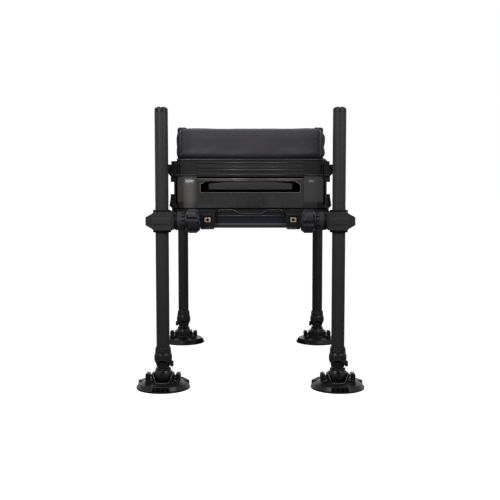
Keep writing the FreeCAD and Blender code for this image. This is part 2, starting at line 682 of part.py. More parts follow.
def make_corner_block():
    """Corner block of the front left leg, about the leg axis: the nose points to -X and the arm to +Y."""
    low, high = s.clamp_rise - s.block_half_z, s.clamp_rise + s.block_half_z
    elevation = prism("BlockElevation", "xz", (
        (-s.block_nose, s.clamp_rise - s.block_nose_half_z),
        (-s.block_cheek, s.clamp_rise - s.block_cheek_half_z),
        (3 - s.block_cheek, low), (s.block_inner - 3, low), (s.block_inner, low + 3),
        (s.block_inner, high - 3), (s.block_inner - 3, high), (3 - s.block_cheek, high),
        (-s.block_cheek, s.clamp_rise + s.block_cheek_half_z),
        (-s.block_nose, s.clamp_rise + s.block_nose_half_z),
    ), (-s.block_half_y, s.block_half_y))
    plan = prism("BlockPlan", "xy", (
        (-s.block_nose, -s.block_nose_half_y), (-s.block_cheek, -s.block_half_y),
        (s.block_inner - 4, -s.block_half_y), (s.block_inner, 4 - s.block_half_y),
        (s.block_inner, s.block_half_y), (-s.block_cheek, s.block_half_y),
        (-s.block_nose, s.block_nose_half_y),
    ), (low, high))
    body = common("BlockBody", elevation, plan)
    band = box(
        "BlockBand", (1 - s.block_cheek, s.block_inner - 6),
        (-s.block_half_y - s.band_depth, -s.block_half_y),
        (s.clamp_rise - s.band_half, s.clamp_rise + s.band_half),
    )
    boss = put(lathe("BlockBoss", (
        (s.pad_r, 0), (s.pad_r, s.block_half_z - 2), (s.block_inner, s.block_half_z - 1.5),
        (s.block_inner + 5, s.boss_root_r),
        (s.block_inner + 7, s.boss_r), (s.boss_end, s.boss_r), (s.boss_end, 0),
    ), "x"), z=s.clamp_rise)
    arm_top = deck_rise
    arm = prism("BlockArm", "xy", (
        (4 - s.block_cheek, s.block_half_y - 6), (4 - s.block_cheek, s.block_half_y + 1),
        (s.arm_outer, s.arm_outer + s.block_half_y + 8),
        (s.arm_outer, s.arm_length), (s.arm_inner, s.arm_length), (s.arm_inner, s.knob_r + 4),
        (s.arm_inner - 6, s.knob_r + 2), (s.block_inner, s.block_half_y), (s.block_inner, s.block_half_y - 6),
    ), (s.beam_rise, arm_top))
    gap = s.beam_wall + s.run
    spigot_z = (s.beam_rise + gap + s.beam_bevel * 0.5, arm_top - gap)
    beam_near = s.leg_reach_y
    cross_spigot = box("CrossSpigot", (s.arm_inner - 2, s.arm_inner + s.spigot_reach),
                       (beam_near + gap + s.beam_bevel * 0.6, beam_near + s.beam_depth - gap), spigot_z)
    side_near = s.arm_inner - 2 - s.side_beam_width
    side_spigot = box("SideSpigot", (side_near + gap, side_near + s.side_beam_width - gap),
                      (s.arm_length - 2, s.arm_length + s.spigot_reach), (s.beam_rise + gap, arm_top - gap))
    leg_bore = rod("BlockLegBore", s.leg_r + s.bush_wall, "z", (low - 1, high + 1), (0, 0))
    pad_bore = rod(
        "BlockPadBore", s.pad_r, "x", (0, s.leg_r + s.pad_length + s.pad_travel + 2),
        (0, s.clamp_rise),
    )
    stud_bore = rod("BlockStudBore", s.stud_r, "x", (s.leg_r, s.boss_end + 1), (0, s.clamp_rise))
    holes = [bolt_shape("CrossTap", "y", beam_near, s.arm_inner + s.spigot_reach / 2, 0),
             bolt_shape("SideTap", "x", side_near, s.arm_length + s.spigot_reach / 2, 0)]
    return cut("CornerBlock", fuse("BlockForm", body, band, boss, arm, cross_spigot, side_spigot),
               leg_bore, pad_bore, stud_bore, *holes)


def bolt_shape(name, axis, face, along, slack):
    """Shank of a frame bolt, from the beam's outer face inwards; slack narrows it inside its hole."""
    middle = s.beam_rise + s.beam_height / 2 + s.beam_bevel * 0.25
    centre = (along, middle)
    return rod(name, s.bolt_r - slack, axis, (face, face + s.bolt_length), centre)


def make_frame_bolts():
    beam_near = s.leg_reach_y
    side_near = s.arm_inner - 2 - s.side_beam_width
    middle = s.beam_rise + s.beam_height / 2 + s.beam_bevel * 0.25
    bolts = []
    half_reach = s.spigot_reach / 2
    sides = (("y", beam_near, s.arm_inner + half_reach), ("x", side_near, s.arm_length + half_reach))
    for axis, face, along in sides:
        shank = bolt_shape("Shank_" + axis, axis, face, along, s.run)
        head = rod("Head_" + axis, s.bolt_head_r, axis, (face - s.bolt_head, face), (along, middle))
        socket = rod(
            "Socket_" + axis, s.bolt_head_r * 0.42, axis,
            (face - s.bolt_head - 1, face - s.bolt_head * 0.3), (along, middle),
        )
        bolts.append(cut("Bolt_" + axis, fuse("BoltForm_" + axis, shank, head), socket))
    return group("CornerBolts", *bolts)


def four_corners(name, master):
    """Puts a front left piece at all four legs, mirrored so that each arm points inwards."""
    image = mirrored(name + "_image", master, "x")
    copies = []
    for label, (side, end) in CORNERS.items():
        source = master if side * end > 0 else image
        copies.append(placed(name + "_" + label, source, side * leg_x, end * leg_y, 0, 0 if end < 0 else 180))
    return group(name, *copies)


def make_bushes():
    bore = s.leg_r + s.run
    outer = s.leg_r + s.bush_wall - s.run
    top = s.clamp_rise + s.block_half_z
    upper = lathe("UpperBush", (
        (bore, top - s.bush_depth), (outer, top - s.bush_depth), (outer, top), (s.bush_flange_r, top),
        (s.bush_flange_r, top + s.bush_flange - 1), (s.bush_flange_r - 1, top + s.bush_flange),
        (bore, top + s.bush_flange),
    ))
    low = s.clamp_rise - s.block_half_z
    lower = lathe("LowerBush", (
        (bore, low + s.bush_depth), (outer, low + s.bush_depth), (outer, low), (s.bush_flange_r, low),
        (s.bush_flange_r, low - s.bush_flange + 1), (s.bush_flange_r - 1, low - s.bush_flange),
        (bore, low - s.bush_flange),
    ))
    return group("BushPair", upper, lower)


def make_clamp_collar():
    ring = lathe("InsertRing", (
        (s.boss_end, s.stud_r), (s.boss_end, s.insert_r), (s.insert_end - 0.8, s.insert_r),
        (s.insert_end, s.insert_r - 0.8), (s.insert_end, s.stud_r),
    ), "x")
    half = s.insert_notch / 2
    notch = box(
        "InsertNotch", (s.boss_end + 1.4, s.insert_end + 1), (-half, half),
        (s.insert_r - 3.4, s.insert_r + 2),
    )
    notches = ring_of("InsertNotches", notch, 12, about=V(1, 0, 0))
    return put(group("ClampCollar", cut("InsertCut", ring, notches)), z=s.clamp_rise)


def make_clamp_pad():
    near = s.leg_r + s.seat_gap
    far = s.leg_r + s.pad_length
    plug = rod("PadPlug", s.pad_r - s.run, "x", (0, far), (0, s.clamp_rise))
    leg = rod("PadHollow", near, "z", (s.clamp_rise - s.block_half_z, s.clamp_rise + s.block_half_z), (0, 0))
    return cut("ClampPad", plug, leg)


def make_hand_nut():
    """Knob and stud about the X axis; the stud pushes on the pad's back."""
    near = s.insert_end + s.knob_gap
    far = near + s.knob_length
    form = lathe("KnobForm", (
        (near, 0), (near, s.knob_neck_r), (near + 2, s.knob_neck_r), (near + s.knob_bevel, s.knob_r),
        (far - s.knob_bevel, s.knob_r), (far, s.knob_r - s.knob_bevel * 0.75), (far, 0),
    ), "x")
    flute = rod("KnobFlute", s.flute_r, "x", (near - 1, far + 1), (-s.flute_reach, 0))
    flutes = ring_of("KnobFlutes", flute, 6, first=-10, about=V(1, 0, 0))
    recess = lathe("KnobRecess", (
        (far - 3, 0), (far - 3, s.knob_r * 0.4), (far + 1, s.knob_r * 0.5), (far + 1, 0),
    ), "x")
    knob = cut("Knob", form, flutes, recess)
    stud = rod("KnobStud", s.stud_r - s.run, "x", (s.leg_r + s.pad_length, near + 2), (0, 0))
    return put(group("HandNut", fuse("KnobAndStud", knob, stud)), z=s.clamp_rise)


def beam_section(near, depth, inset=0):
    """Half-hollow beam section; near is its outer face and the bevel is on the lower outer edge."""
    low, high = s.beam_rise + inset, deck_rise - inset
    a, b = near + inset, near + depth - inset
    return ((a, low + s.beam_bevel * 1.05), (a + s.beam_bevel, low), (b, low), (b, high), (a, high))


def make_cross_beam():
    """Front beam: a hollow section with a lip along its upper edge."""
    near = -s.box_half_y
    half = leg_x - s.arm_inner
    solid = prism("CrossSolid", "yz", beam_section(near, s.beam_depth), (-half, half))
    hollow = prism("CrossHollow", "yz", beam_section(near, s.beam_depth, s.beam_wall), (-half - 1, half + 1))
    face = box("CrossFace", (-half - 1, half + 1), (near - 1, near + 0.8), (s.beam_rise - 1, deck_rise - 2))
    along = leg_x - s.arm_inner - s.spigot_reach / 2
    hole = rod(
        "CrossHole", s.bolt_r, "y", (near - 1, near + s.bolt_length),
        (along, s.beam_rise + s.beam_height / 2 + s.beam_bevel * 0.25),
    )
    seat = rod(
        "CrossSeat", s.bolt_head_r, "y", (near, near + 0.8),
        (along, s.beam_rise + s.beam_height / 2 + s.beam_bevel * 0.25),
    )
    front = cut("CrossCut", solid, hollow, face, both_ways("CrossHoles", hole, "x"))
    return fuse("CrossBeam", front, both_ways("CrossSeats", cut("CrossSeatRing", seat, hole), "x"))


def make_side_beam():
    """Left beam, between the arms of the left blocks."""
    inner = leg_x - s.arm_inner + 2
    outer = inner + s.side_beam_width
    half = leg_y - s.arm_length
    w = s.beam_wall
    solid = box("SideSolid", (-outer, -inner), (-half, half), (s.beam_rise, deck_rise))
    hollow = box(
        "SideHollow", (w - outer, -inner - w), (-half - 1, half + 1),
        (s.beam_rise + w, deck_rise - w),
    )
    middle = s.beam_rise + s.beam_height / 2 + s.beam_bevel * 0.25
    hole = rod(
        "SideHole", s.bolt_r, "x", (-outer - 1, s.bolt_length - outer),
        (half - s.spigot_reach / 2, middle),
    )
    return cut("SideBeam", solid, hollow, both_ways("SideHoles", hole, "y"))


def make_deck():
    top = plinth_rise
    near = -s.box_half_y
    plate = box("DeckPlate", (-s.box_half_x, s.box_half_x), (near, s.box_half_y), (deck_rise, top))
    under = box("DeckUnder", (s.deck_rim - s.box_half_x, s.box_half_x - s.deck_rim),
                (near + s.beam_depth, s.box_half_y - s.beam_depth), (deck_rise - 1, top - s.deck_skin))
    step = box(
        "DeckStep", (-s.box_half_x - 1, s.box_half_x + 1), (near - 1, near + s.deck_step),
        (deck_rise - 1, top - s.deck_line),
    )
    badge = prism("DeckFrontPlate", "xz", (
        (-s.deck_plate_low, deck_rise), (s.deck_plate_low, deck_rise),
        (s.deck_plate_top, top), (-s.deck_plate_top, top),
    ), (near - 0.6, near + s.deck_step))
    shaped = cut("DeckCut", plate, under, both_ways("DeckSteps", step, "y"))
    return fuse("Deck", shaped, both_ways("DeckFrontPlates", badge, "y"))


def make_bracket():
    """Front right accessory bracket: flared top, body with a square pocket, lip below."""
    x0, x1 = bracket_inner, bracket_inner + s.bracket_width
    back = -s.box_half_y
    front = back - s.bracket_depth
    low, high = s.bracket_rise, s.bracket_rise + s.bracket_height
    body = prism("BracketBody", "xz", (
        (x0 + 2, low), (x1 - 2, low), (x1, low + 3), (x1, high), (x0, high), (x0, low + 3),
    ), (front, back))
    crown = prism("BracketCrown", "xz", (
        (x0, high), (x1, high), (x1 + s.bracket_flare, high + 5), (x1 + s.bracket_flare, plinth_rise - 0.4),
        (x0 - 2, plinth_rise - 0.4), (x0 - 2, high + 5),
    ), (front + 2.4, back - 0.8))
    lip = prism("BracketLip", "yz", (
        (front + 1.6, low - s.bracket_lip), (back - 1, low - s.bracket_lip), (back - 1, low), (front, low),
        (front, low - 2),
    ), (x0 + 3, x1 - 1))
    centre_x = x0 + s.bracket_width / 2
    half = s.pocket_width / 2
    pocket_low = low + 5
    pocket = box("BracketPocket", (centre_x - half, centre_x + half), (front - 1, front + s.pocket_depth),
                 (pocket_low, pocket_low + s.pocket_height))
    return cut("Bracket", fuse("BracketForm", body, crown, lip), pocket)


def make_accessory_nut():
    front = -s.box_half_y - s.bracket_depth + s.pocket_depth
    centre_x = bracket_inner + s.bracket_width / 2
    centre_z = s.bracket_rise + 5 + s.pocket_height / 2
    half = s.nut_width / 2
    block = box("NutBlock", (centre_x - half, centre_x + half), (front - s.nut_depth, front),
                (centre_z - s.nut_height / 2, centre_z + s.nut_height / 2))
    bore = rod("NutBore", s.nut_thread_r, "y", (front - s.nut_depth - 1, front + 1), (centre_x, centre_z))
    return cut("AccessoryNut", block, bore)


def on_all_sides(name, part):
    """A front right piece repeated at the front left and at the rear."""
    return both_ways(name, both_ways(name + "_pair", part, "x"), "y")


def make_post():
    """Front right corner post: a shell with a facet on its front corner."""
    near = -s.box_half_y
    x0, x1 = post_inner, post_outer
    w = s.post_wall

    def section(inset):
        return (
            (x0 + inset, near + inset), (x1 - s.post_facet - inset * 0.4, near + inset),
            (x1 - inset, near + s.post_facet_depth + inset * 0.7), (x1 - inset, near + s.post_depth - inset),
            (x0 + inset, near + s.post_depth - inset),
        )
    shell = prism("PostShell", "xy", section(0), (case_rise, tray_rise))
    hollow = prism("PostHollow", "xy", section(w), (case_rise - 1, tray_rise - w))
    return cut("CasePost", shell, hollow)


def make_case_side():
    """Right wall of the drawer case: a waist between its top ledge and its foot."""
    foot = s.box_half_x
    ledge = foot + s.side_ledge_reach
    waist = foot - s.side_waist
    inner = post_outer + s.seat_gap
    low, high = case_rise, tray_rise
    wall = prism("SideWall", "xz", (
        (inner, low), (foot, low), (foot, low + s.side_foot), (waist, low + s.side_foot + s.side_waist),
        (waist, high - s.side_ledge - s.side_waist), (ledge, high - s.side_ledge),
        (ledge, high - s.side_ledge_reach),
        (foot, high), (inner, high), (inner, high - s.side_wall), (waist - s.side_wall, high - s.side_ledge),
        (waist - s.side_wall, low + s.side_ledge), (inner, low + s.side_wall),
    ), (s.side_inset - s.box_half_y, s.box_half_y - s.side_inset))
    fronted = with_catch_ears("CaseSideFront", wall, waist, case_catch_rise)
    return with_fixed_hook("CaseSide", fronted, waist, case_catch_rise, case_catch)


def catch_pin_x(wall):
    """Place of a catch's pin in front of the wall that carries it."""
    return wall + s.catch_eye_r + s.seat_gap


def catch_ears(name, wall, pin_z, with_hole):
    """Two ears on a right-hand wall, with or without a hole for a catch's pin."""
    pin_x = catch_pin_x(wall)
    near = s.catch_half + s.seat_gap
    span = (near, near + s.catch_ear)
    ear = box(
        name, (wall - s.rail_groove, pin_x + s.catch_eye_r), span,
        (pin_z - s.catch_eye_r, pin_z + s.catch_eye_r),
    )
    if with_hole:
        ear = cut(name + "Cut", ear, rod(name + "Hole", s.catch_pin_r + s.run, "y", span, (pin_x, pin_z)))
    return both_ways(name + "s", ear, "y")


def with_catch_ears(name, base, wall, pin_z):
    """A right-hand piece with the ears of the front catch."""
    return fuse(
        name, base,
        placed(name + "EarsPlaced", catch_ears(name + "Ear", wall, pin_z, True), y=-catch_y),
    )


def with_fixed_hook(name, base, wall, pin_z, catch):
    """A right-hand piece with the catch's shape held fast at the rear."""
    hook = fuse(name + "Hook", catch, catch_ears(name + "HookEar", wall, pin_z, False))
    return fuse(name, base, placed(name + "HookPlaced", hook, y=catch_y))


def make_catch(name, wall, ledge, pin_z, tail, grip, proud):
    """Right-hand catch that hangs from its pin: a grip over a plate whose tail reaches past a ledge."""
    pin_x = catch_pin_x(wall)
    inner = ledge + s.seat_gap
    outer = inner + s.catch_plate
    plate = prism(name + "Plate", "xz", (
        (inner, pin_z - tail), (outer, pin_z - tail), (outer, pin_z - grip - proud),
        (outer + proud, pin_z - grip),
        (pin_x + s.catch_eye_r, pin_z), (pin_x, pin_z + s.catch_eye_r * 0.5), (inner, pin_z),
    ), (-s.catch_half, s.catch_half))
    eye = rod(name + "Eye", s.catch_eye_r, "y", (-s.catch_half, s.catch_half), (pin_x, pin_z))
    length = s.catch_half + s.seat_gap + s.catch_ear
    pin = rod(name + "Pin", s.catch_pin_r, "y", (-length, length), (pin_x, pin_z))
    return fuse(name, plate, eye, pin)


def make_case_floor():
    half_x, half_y = s.box_half_x - s.plinth_inset, s.box_half_y - s.plinth_inset
    return box("CaseFloor", (-half_x, half_x), (-half_y, half_y), (plinth_rise, case_rise))


def make_case_back():
    back = s.box_half_y
    half = post_inner
    panel = box(
        "BackPanel", (-half, half), (back - s.panel_thickness, back),
        (case_rise, tray_rise - s.front_gap),
    )
    return panel


def make_runner():
    """Right drawer runner: an upright strip with a foot under the drawer."""
    outer = post_inner - s.run
    inner = outer - s.runner_thick
    span = (s.front_depth - s.box_half_y + 4, s.box_half_y - s.panel_thickness)
    upright = box("RunnerUpright", (inner, outer), span, (case_rise, case_rise + s.runner_height))
    foot = box("RunnerFoot", (outer - s.runner_foot, outer), span, (case_rise, case_rise + s.runner_thick))
    return fuse("Runner", upright, foot)


def make_drawer_tray():
    half = post_inner - s.runner_thick - s.seat_gap
    near = s.front_depth - s.box_half_y
    far = s.box_half_y - s.panel_thickness - s.drawer_rear_gap
    low = case_rise + s.runner_thick + s.run
    w = s.drawer_wall
    outer = box("DrawerOuter", (-half, half), (near, far), (low, low + s.drawer_height))
    inner = box(
        "DrawerInner", (w - half, half - w), (near + w, far - w),
        (low + w, low + s.drawer_height + 1),
    )
    return cut("DrawerTray", outer, inner)


def make_drawer_front():
    half = post_inner - s.seat_gap
    near = -s.box_half_y
    far = near + s.front_depth
    low, high = case_rise + s.seat_gap, tray_rise - s.front_gap
    w = s.front_wall
    block = box("FrontBlock", (-half, half), (near, far), (low, high))
    inside = box("FrontInside", (w - half, half - w), (near + w, far - w), (low - 1, s.grip_low - w))
    grip = prism("GripPocket", "xz", (
        (1.5 - grip_half, s.grip_low), (grip_half - 1.5, s.grip_low), (grip_half, s.grip_low + 2),
        (grip_half, s.grip_high - s.grip_bevel), (grip_half - s.grip_bevel * 1.6, s.grip_high),
        (s.grip_bevel * 1.6 - grip_half, s.grip_high), (-grip_half, s.grip_high - s.grip_bevel),
        (-grip_half, s.grip_low + 2),
    ), (near - 1, far - w))
    lines = []
    for number, place in enumerate((-72, -24, 24, 72)):
        across = (place - 0.4, place + 0.4)
        lines.append(box("FrontLine%d" % number, across, (near - 1, near + 0.5), (low - 1, s.grip_low - 3)))
    return cut("DrawerFront", block, inside, grip, *lines)


def make_drawer_handle():
    """Arched bar with two feet on the floor of the grip pocket."""
    near = -s.box_half_y - 0.6
    half = s.handle_half
    low, high = s.handle_low, s.handle_low + s.handle_height
    bar = prism("HandleBar", "xz", (
        (-half, low), (half, low), (half, high - 3), (half * 0.55, high),
        (half * 0.2, high + s.handle_arch * 0.6), (-half * 0.2, high + s.handle_arch * 0.6),
        (-half * 0.55, high), (-half, high - 3),
    ), (near, near + s.handle_thick))
    ledge, top = low + s.handle_face, high + s.handle_arch
    rebate = prism("HandleRebate", "yz", (
        (near - 1, ledge), (near + 1.6, ledge + 0.8), (near + 2.4, top), (near - 1, top),
    ), (-half - 1, half + 1))
    floor = s.front_depth - s.box_half_y - s.front_wall
    foot = box("HandleFoot", (half - s.handle_foot, half), (near + 1, floor), (low + 1, high - 3))
    return fuse("DrawerHandle", cut("HandleShaped", bar, rebate), both_ways("HandleFeet", foot, "x"))


def make_tray_corner():
    """Front right tray casting: an angle with two upright slots in its front face."""
    near = -s.box_half_y
    outer = tray_half
    inner = outer - s.casting_arm
    w = s.casting_wall
    low, high = tray_rise, board_rise
    angle = prism("CastingAngle", "xy", (
        (inner, near), (outer - 6, near), (outer, near + 6), (outer, near + s.casting_arm),
        (outer - w, near + s.casting_arm), (outer - w, near + w), (inner, near + w),
    ), (low, high))
    slots = [
        box(
            "CastingSlot%d" % number, (place, place + s.slot_width),
            (near - 1, near + s.slot_depth), (low + 4.5, high - 6),
        )
        for number, place in enumerate((outer - 17.5, outer - 12.8))
    ]
    foot = box("CastingFoot", (inner - 1, outer - 1), (near - 1, near + s.rail_groove), (low - 1, low + 2.4))
    return cut("TrayCorner", angle, foot, *slots)


def make_tray_corners():
    """Four castings: the front ones carry the catches, the rear ones their fixed hooks."""
    casting = make_tray_corner()
    front = with_catch_ears("FrontCorner", casting, tray_half, tray_catch_rise)
    rear = with_fixed_hook(
        "RearCorner", mirrored("RearCasting", casting, "y"), tray_half, tray_catch_rise, tray_catch,
    )
    return group("TrayCorners", both_ways("FrontCorners", front, "x"), both_ways("RearCorners", rear, "x"))


def rail_section(face, inward):
    """Ribbed section of a tray rail; face is its outer face and inward is the way to its back."""
    low, high = tray_rise, board_rise
    groove = face + inward * s.rail_groove
    back = face + inward * s.rail_thick
    outer = (
        (groove, low), (groove, low + 2.4), (face, low + 2.8), (face, low + 4.2), (groove, low + 5),
        (groove, low + 9), (face, low + 9.8),
        (face, low + 13.4), (groove, low + 14), (groove, low + 16), (face, low + 16.6), (face, low + 18.2),
        (groove, low + 19), (groove, low + 25), (face, low + 25.8), (face, high), (back, high), (back, low),
    )
    return outer


def make_tray_rails():
    half = tray_half - s.casting_arm
    front = prism("FrontRail", "yz", rail_section(-s.box_half_y, 1), (-half, half))
    side_half = s.box_half_y - s.casting_arm
    profile = prism("SideRail", "xz", rail_section(rail_face, -1), (-side_half, side_half))
    return group("TrayRails", both_ways("CrossRails", front, "y"), both_ways("LongRails", profile, "x"))


def make_tray_base():
    half_x = tray_half - s.casting_wall - s.seat_gap
    half_y = s.box_half_y - s.casting_wall - s.seat_gap
    low = tray_rise + s.run
    w = s.pan_wall
    outer = box("PanOuter", (-half_x, half_x), (-half_y, half_y), (low, low + s.pan_height))
    inner = box(
        "PanInner", (w - half_x, half_x - w), (w - half_y, half_y - w),
        (low + w, low + s.pan_height + 1),
    )
    return cut("TrayBase", outer, inner)


def hinge_place():
    return board_half_x + s.hinge_r + s.seat_gap, board_rise + s.hinge_r + 0.2


def make_hinge(name, places, inner, outer, leaf_low, leaf_high):
    """Barrels round the hinge axis at the given places along Y, each with its piece of leaf."""
    x, z = hinge_place()
    half = s.hinge_knuckle / 2 - s.seat_gap / 2
    parts = []
    for number, place in enumerate(places):
        span = (place - half, place + half)
        barrel = rod("%sBarrel%d" % (name, number), s.hinge_r, "y", span, (x, z))
        leaf = box("%sLeaf%d" % (name, number), (inner, outer), span, (leaf_low, leaf_high))
        bore = rod("%sBore%d" % (name, number), s.hinge_pin_r + s.run, "y", span, (x, z))
        parts.append(
            cut("%sKnuckle%d" % (name, number), fuse("%sForm%d" % (name, number), barrel, leaf), bore),
        )
    return parts


def make_fixed_hinge():
    """Outer knuckles on a leaf screwed to the right rail, with the pin."""
    x, z = hinge_place()
    face = rail_face
    places = (hinge_y - s.hinge_knuckle, hinge_y + s.hinge_knuckle)
    knuckles = make_hinge("Fixed", places, x, face + s.hinge_leaf_thick, z - s.hinge_r * 0.6, z)
    long_half = s.hinge_knuckle * 1.5
    leaf = box("FixedLeaf", (face, face + s.hinge_leaf_thick), (hinge_y - long_half, hinge_y + long_half),
               (board_rise - s.hinge_leaf, z - s.hinge_r * 0.6 + 0.4))
    pin = rod("HingePin", s.hinge_pin_r, "y", (hinge_y - long_half, hinge_y + long_half), (x, z))
    return group("FixedHinge", fuse("FixedLeaves", leaf, *knuckles), pin)


def make_lid_hinge():
    """Middle knuckle on a leaf against the edge of the cushion board."""
    x, z = hinge_place()
    knuckle = make_hinge(
        "Lid", (hinge_y,), board_half_x, x, board_rise + 0.4, board_rise + s.board_thickness - 0.4,
    )
    return knuckle[0]


def make_board():
    hx, hy = board_half_x, s.box_half_y - s.board_inset_y
    plate = box("BoardPlate", (-hx, hx), (-hy, hy), (board_rise, cushion_rise))
    return softened("CushionBoard", plate, s.cushion_corner, is_upright)


def is_upright(edge):
    box_of = edge.BoundBox
    return box_of.ZLength > 1 and box_of.XLength < 0.01 and box_of.YLength < 0.01


def make_cushion():
    hx, hy = s.box_half_x - s.cushion_inset_x, s.box_half_y - s.cushion_inset_y
    top = cushion_rise + s.cushion_height
    block = box("CushionBlock", (-hx, hx), (-hy, hy), (cushion_rise, top))
    upright = softened("CushionUpright", block, s.cushion_corner, is_upright)
    high = float(top)
    return softened("SeatCushion", upright, s.cushion_round, lambda edge: edge.BoundBox.ZMin > high - 0.01)


tray_catch = make_catch("TrayCatch", tray_half, tray_half, tray_catch_rise,
                        s.tray_catch_tail, s.tray_catch_grip, s.tray_catch_proud)
case_catch = make_catch("CaseCatch", s.box_half_x - s.side_waist, s.box_half_x, case_catch_rise,
                        s.case_catch_tail, s.case_catch_grip, s.case_catch_proud)

LEG_PIECES = {
    "leg_tube": make_leg_tube(),
    "leg_cap": make_leg_cap(),
    "ankle": make_ankle(),
    "knuckle_screw": make_knuckle_screw(),
    "ball_stem": make_ball_stem(),
    "foot_plate": make_foot_plate(),
}
CLAMP_PIECES = {"clamp_pad": make_clamp_pad(), "hand_nut": make_hand_nut()}

for corner, (side, end) in CORNERS.items():
    for label, master in LEG_PIECES.items():
        turn = 0 if end < 0 else 180
        copy = placed("%s_%s_copy" % (label, corner), master, side * leg_x, end * leg_y, 0, turn)
        keep(copy, label + "_" + corner)
    for label, master in CLAMP_PIECES.items():
        turn = 0 if side < 0 else 180
        copy = placed("%s_%s_copy" % (label, corner), master, side * leg_x, end * leg_y, 0, turn)
        keep(copy, label + "_" + corner)

keep(four_corners("CornerBlocks", make_corner_block()), "corner_blocks")
keep(four_corners("FrameBolts", make_frame_bolts()), "frame_bolts")
keep(four_corners("LegBushes", make_bushes()), "leg_bushes")
keep(four_corners("ClampCollars", make_clamp_collar()), "clamp_collars")
keep(both_ways("CrossBeams", make_cross_beam(), "y"), "cross_beams")
keep(both_ways("SideBeams", make_side_beam(), "x"), "side_beams")
keep(make_deck(), "deck")
keep(on_all_sides("Brackets", make_bracket()), "accessory_brackets")
keep(on_all_sides("AccessoryNuts", make_accessory_nut()), "accessory_nuts")

keep(make_case_floor(), "case_floor")
keep(on_all_sides("CasePosts", make_post()), "case_posts")
keep(both_ways("CaseSides", make_case_side(), "x"), "case_sides")
keep(make_case_back(), "case_back")
keep(both_ways("DrawerRunners", make_runner(), "x"), "drawer_runners")
keep(make_drawer_tray(), "drawer_tray")
keep(make_drawer_front(), "drawer_front")
keep(make_drawer_handle(), "drawer_handle")

keep(make_tray_corners(), "tray_corners")
keep(make_tray_rails(), "tray_rails")
keep(make_tray_base(), "tray_base")
keep(both_ways("FixedHinges", make_fixed_hinge(), "y"), "hinge_fixed_leaves")
keep(both_ways("LidHinges", make_lid_hinge(), "y"), "hinge_lid_leaves")
keep(make_board(), "cushion_board")
keep(make_cushion(), "seat_cushion")

for label, catch in (("tray_catch", tray_catch), ("case_catch", case_catch)):
    right = placed(label + "_right_copy", catch, y=-catch_y)
    keep(right, label + "_right")
    keep(mirrored(label + "_left_copy", right, "x"), label + "_left")

doc.recompute()

faults = [thing.Name for thing in doc.Objects if "Invalid" in thing.State or "Error" in thing.State]
for piece in pieces:
    if piece.Shape.isNull() or not piece.Shape.isValid() or not piece.Shape.Solids:
        faults.append(piece.Label)
if faults:
    raise RuntimeError("These objects failed: " + ", ".join(faults))

os.makedirs("parts", exist_ok=True)
for piece in pieces:
    piece.Shape.exportStep("parts/%s.step" % piece.Label)
    extent = piece.Shape.BoundBox
    print("%-26s solids %2d volume %9.1f  X %7.1f %7.1f  Y %7.1f %7.1f  Z %6.1f %6.1f" % (
        piece.Label, len(piece.Shape.Solids), piece.Shape.Volume, extent.XMin, extent.XMax,
        extent.YMin, extent.YMax, extent.ZMin, extent.ZMax))
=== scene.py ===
# Angler's seat box: studio, finishes and the visible detail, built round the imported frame, in metres.
import json
import math

import bmesh
import bpy
from mathutils import Euler, Matrix, Vector, noise
from mathutils.bvhtree import BVHTree


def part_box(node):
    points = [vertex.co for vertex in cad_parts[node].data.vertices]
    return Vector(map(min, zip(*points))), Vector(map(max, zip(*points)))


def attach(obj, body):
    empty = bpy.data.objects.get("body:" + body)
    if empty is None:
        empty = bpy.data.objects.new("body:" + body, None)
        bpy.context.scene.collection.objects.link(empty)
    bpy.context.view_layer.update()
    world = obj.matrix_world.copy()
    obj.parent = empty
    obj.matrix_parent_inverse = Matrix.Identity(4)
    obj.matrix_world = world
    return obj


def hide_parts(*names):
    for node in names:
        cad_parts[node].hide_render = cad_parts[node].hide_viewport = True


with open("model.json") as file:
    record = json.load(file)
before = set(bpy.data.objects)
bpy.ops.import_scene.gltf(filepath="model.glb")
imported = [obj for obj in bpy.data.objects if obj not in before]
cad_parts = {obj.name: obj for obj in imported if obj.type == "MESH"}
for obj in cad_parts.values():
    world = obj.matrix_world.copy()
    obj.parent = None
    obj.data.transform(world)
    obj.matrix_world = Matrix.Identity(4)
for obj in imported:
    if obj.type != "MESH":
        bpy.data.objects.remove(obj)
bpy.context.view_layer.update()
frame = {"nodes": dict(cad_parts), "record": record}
MM = 0.001

# Camera: in front of the drawer, a little below the cushion's top, looking slightly down
CAMERA_PLACE = Vector((-0.0008, -1.699, 0.37))
CAMERA_PITCH = math.radians(4.18)
CAMERA_LENS = 56.3
CAMERA_NEAR = 0.05

# Floor: half its width, and how white the camera sees it over its lit colour
FLOOR_HALF = 30
FLOOR_GLOW = 0.93

# How much the pale room lights the object; the camera and glossy surfaces see it in full
ROOM_LIGHT = 0.2

# Cushion: its welt cords, the blank's growth over the foam, and the cloth simulation that pads it out.
# The cap is the most that the cover may move, and the hold is the share kept of any move inwards.
CUSHION_WELT = 2.2 * MM
CUSHION_GROWTH = Vector((0.8 * MM, -1.2 * MM, 1.6 * MM))
CUSHION_VOXEL = 5 * MM
CUSHION_PRESSURE = 4.0
CUSHION_CAP = 4 * MM
CUSHION_HOLD = 0.15
CUSHION_ROUND = 12 * MM
CUSHION_CORNER = 9 * MM
SIM_FRAMES = 20

# Cushion's cover: the seams' place, depth and width, the slack past them, and how far the hem tucks in
SEAM_X = 134.5 * MM
SEAM_DEPTH, SEAM_WIDTH = 1.1 * MM, 2.6 * MM
END_SWELL = 2.6 * MM
LEFT_SLACK = 0.35
HEM_TUCK = 2.4 * MM
COVER_WAVE = 0.9 * MM
COVER_PUCKER = 0.9 * MM

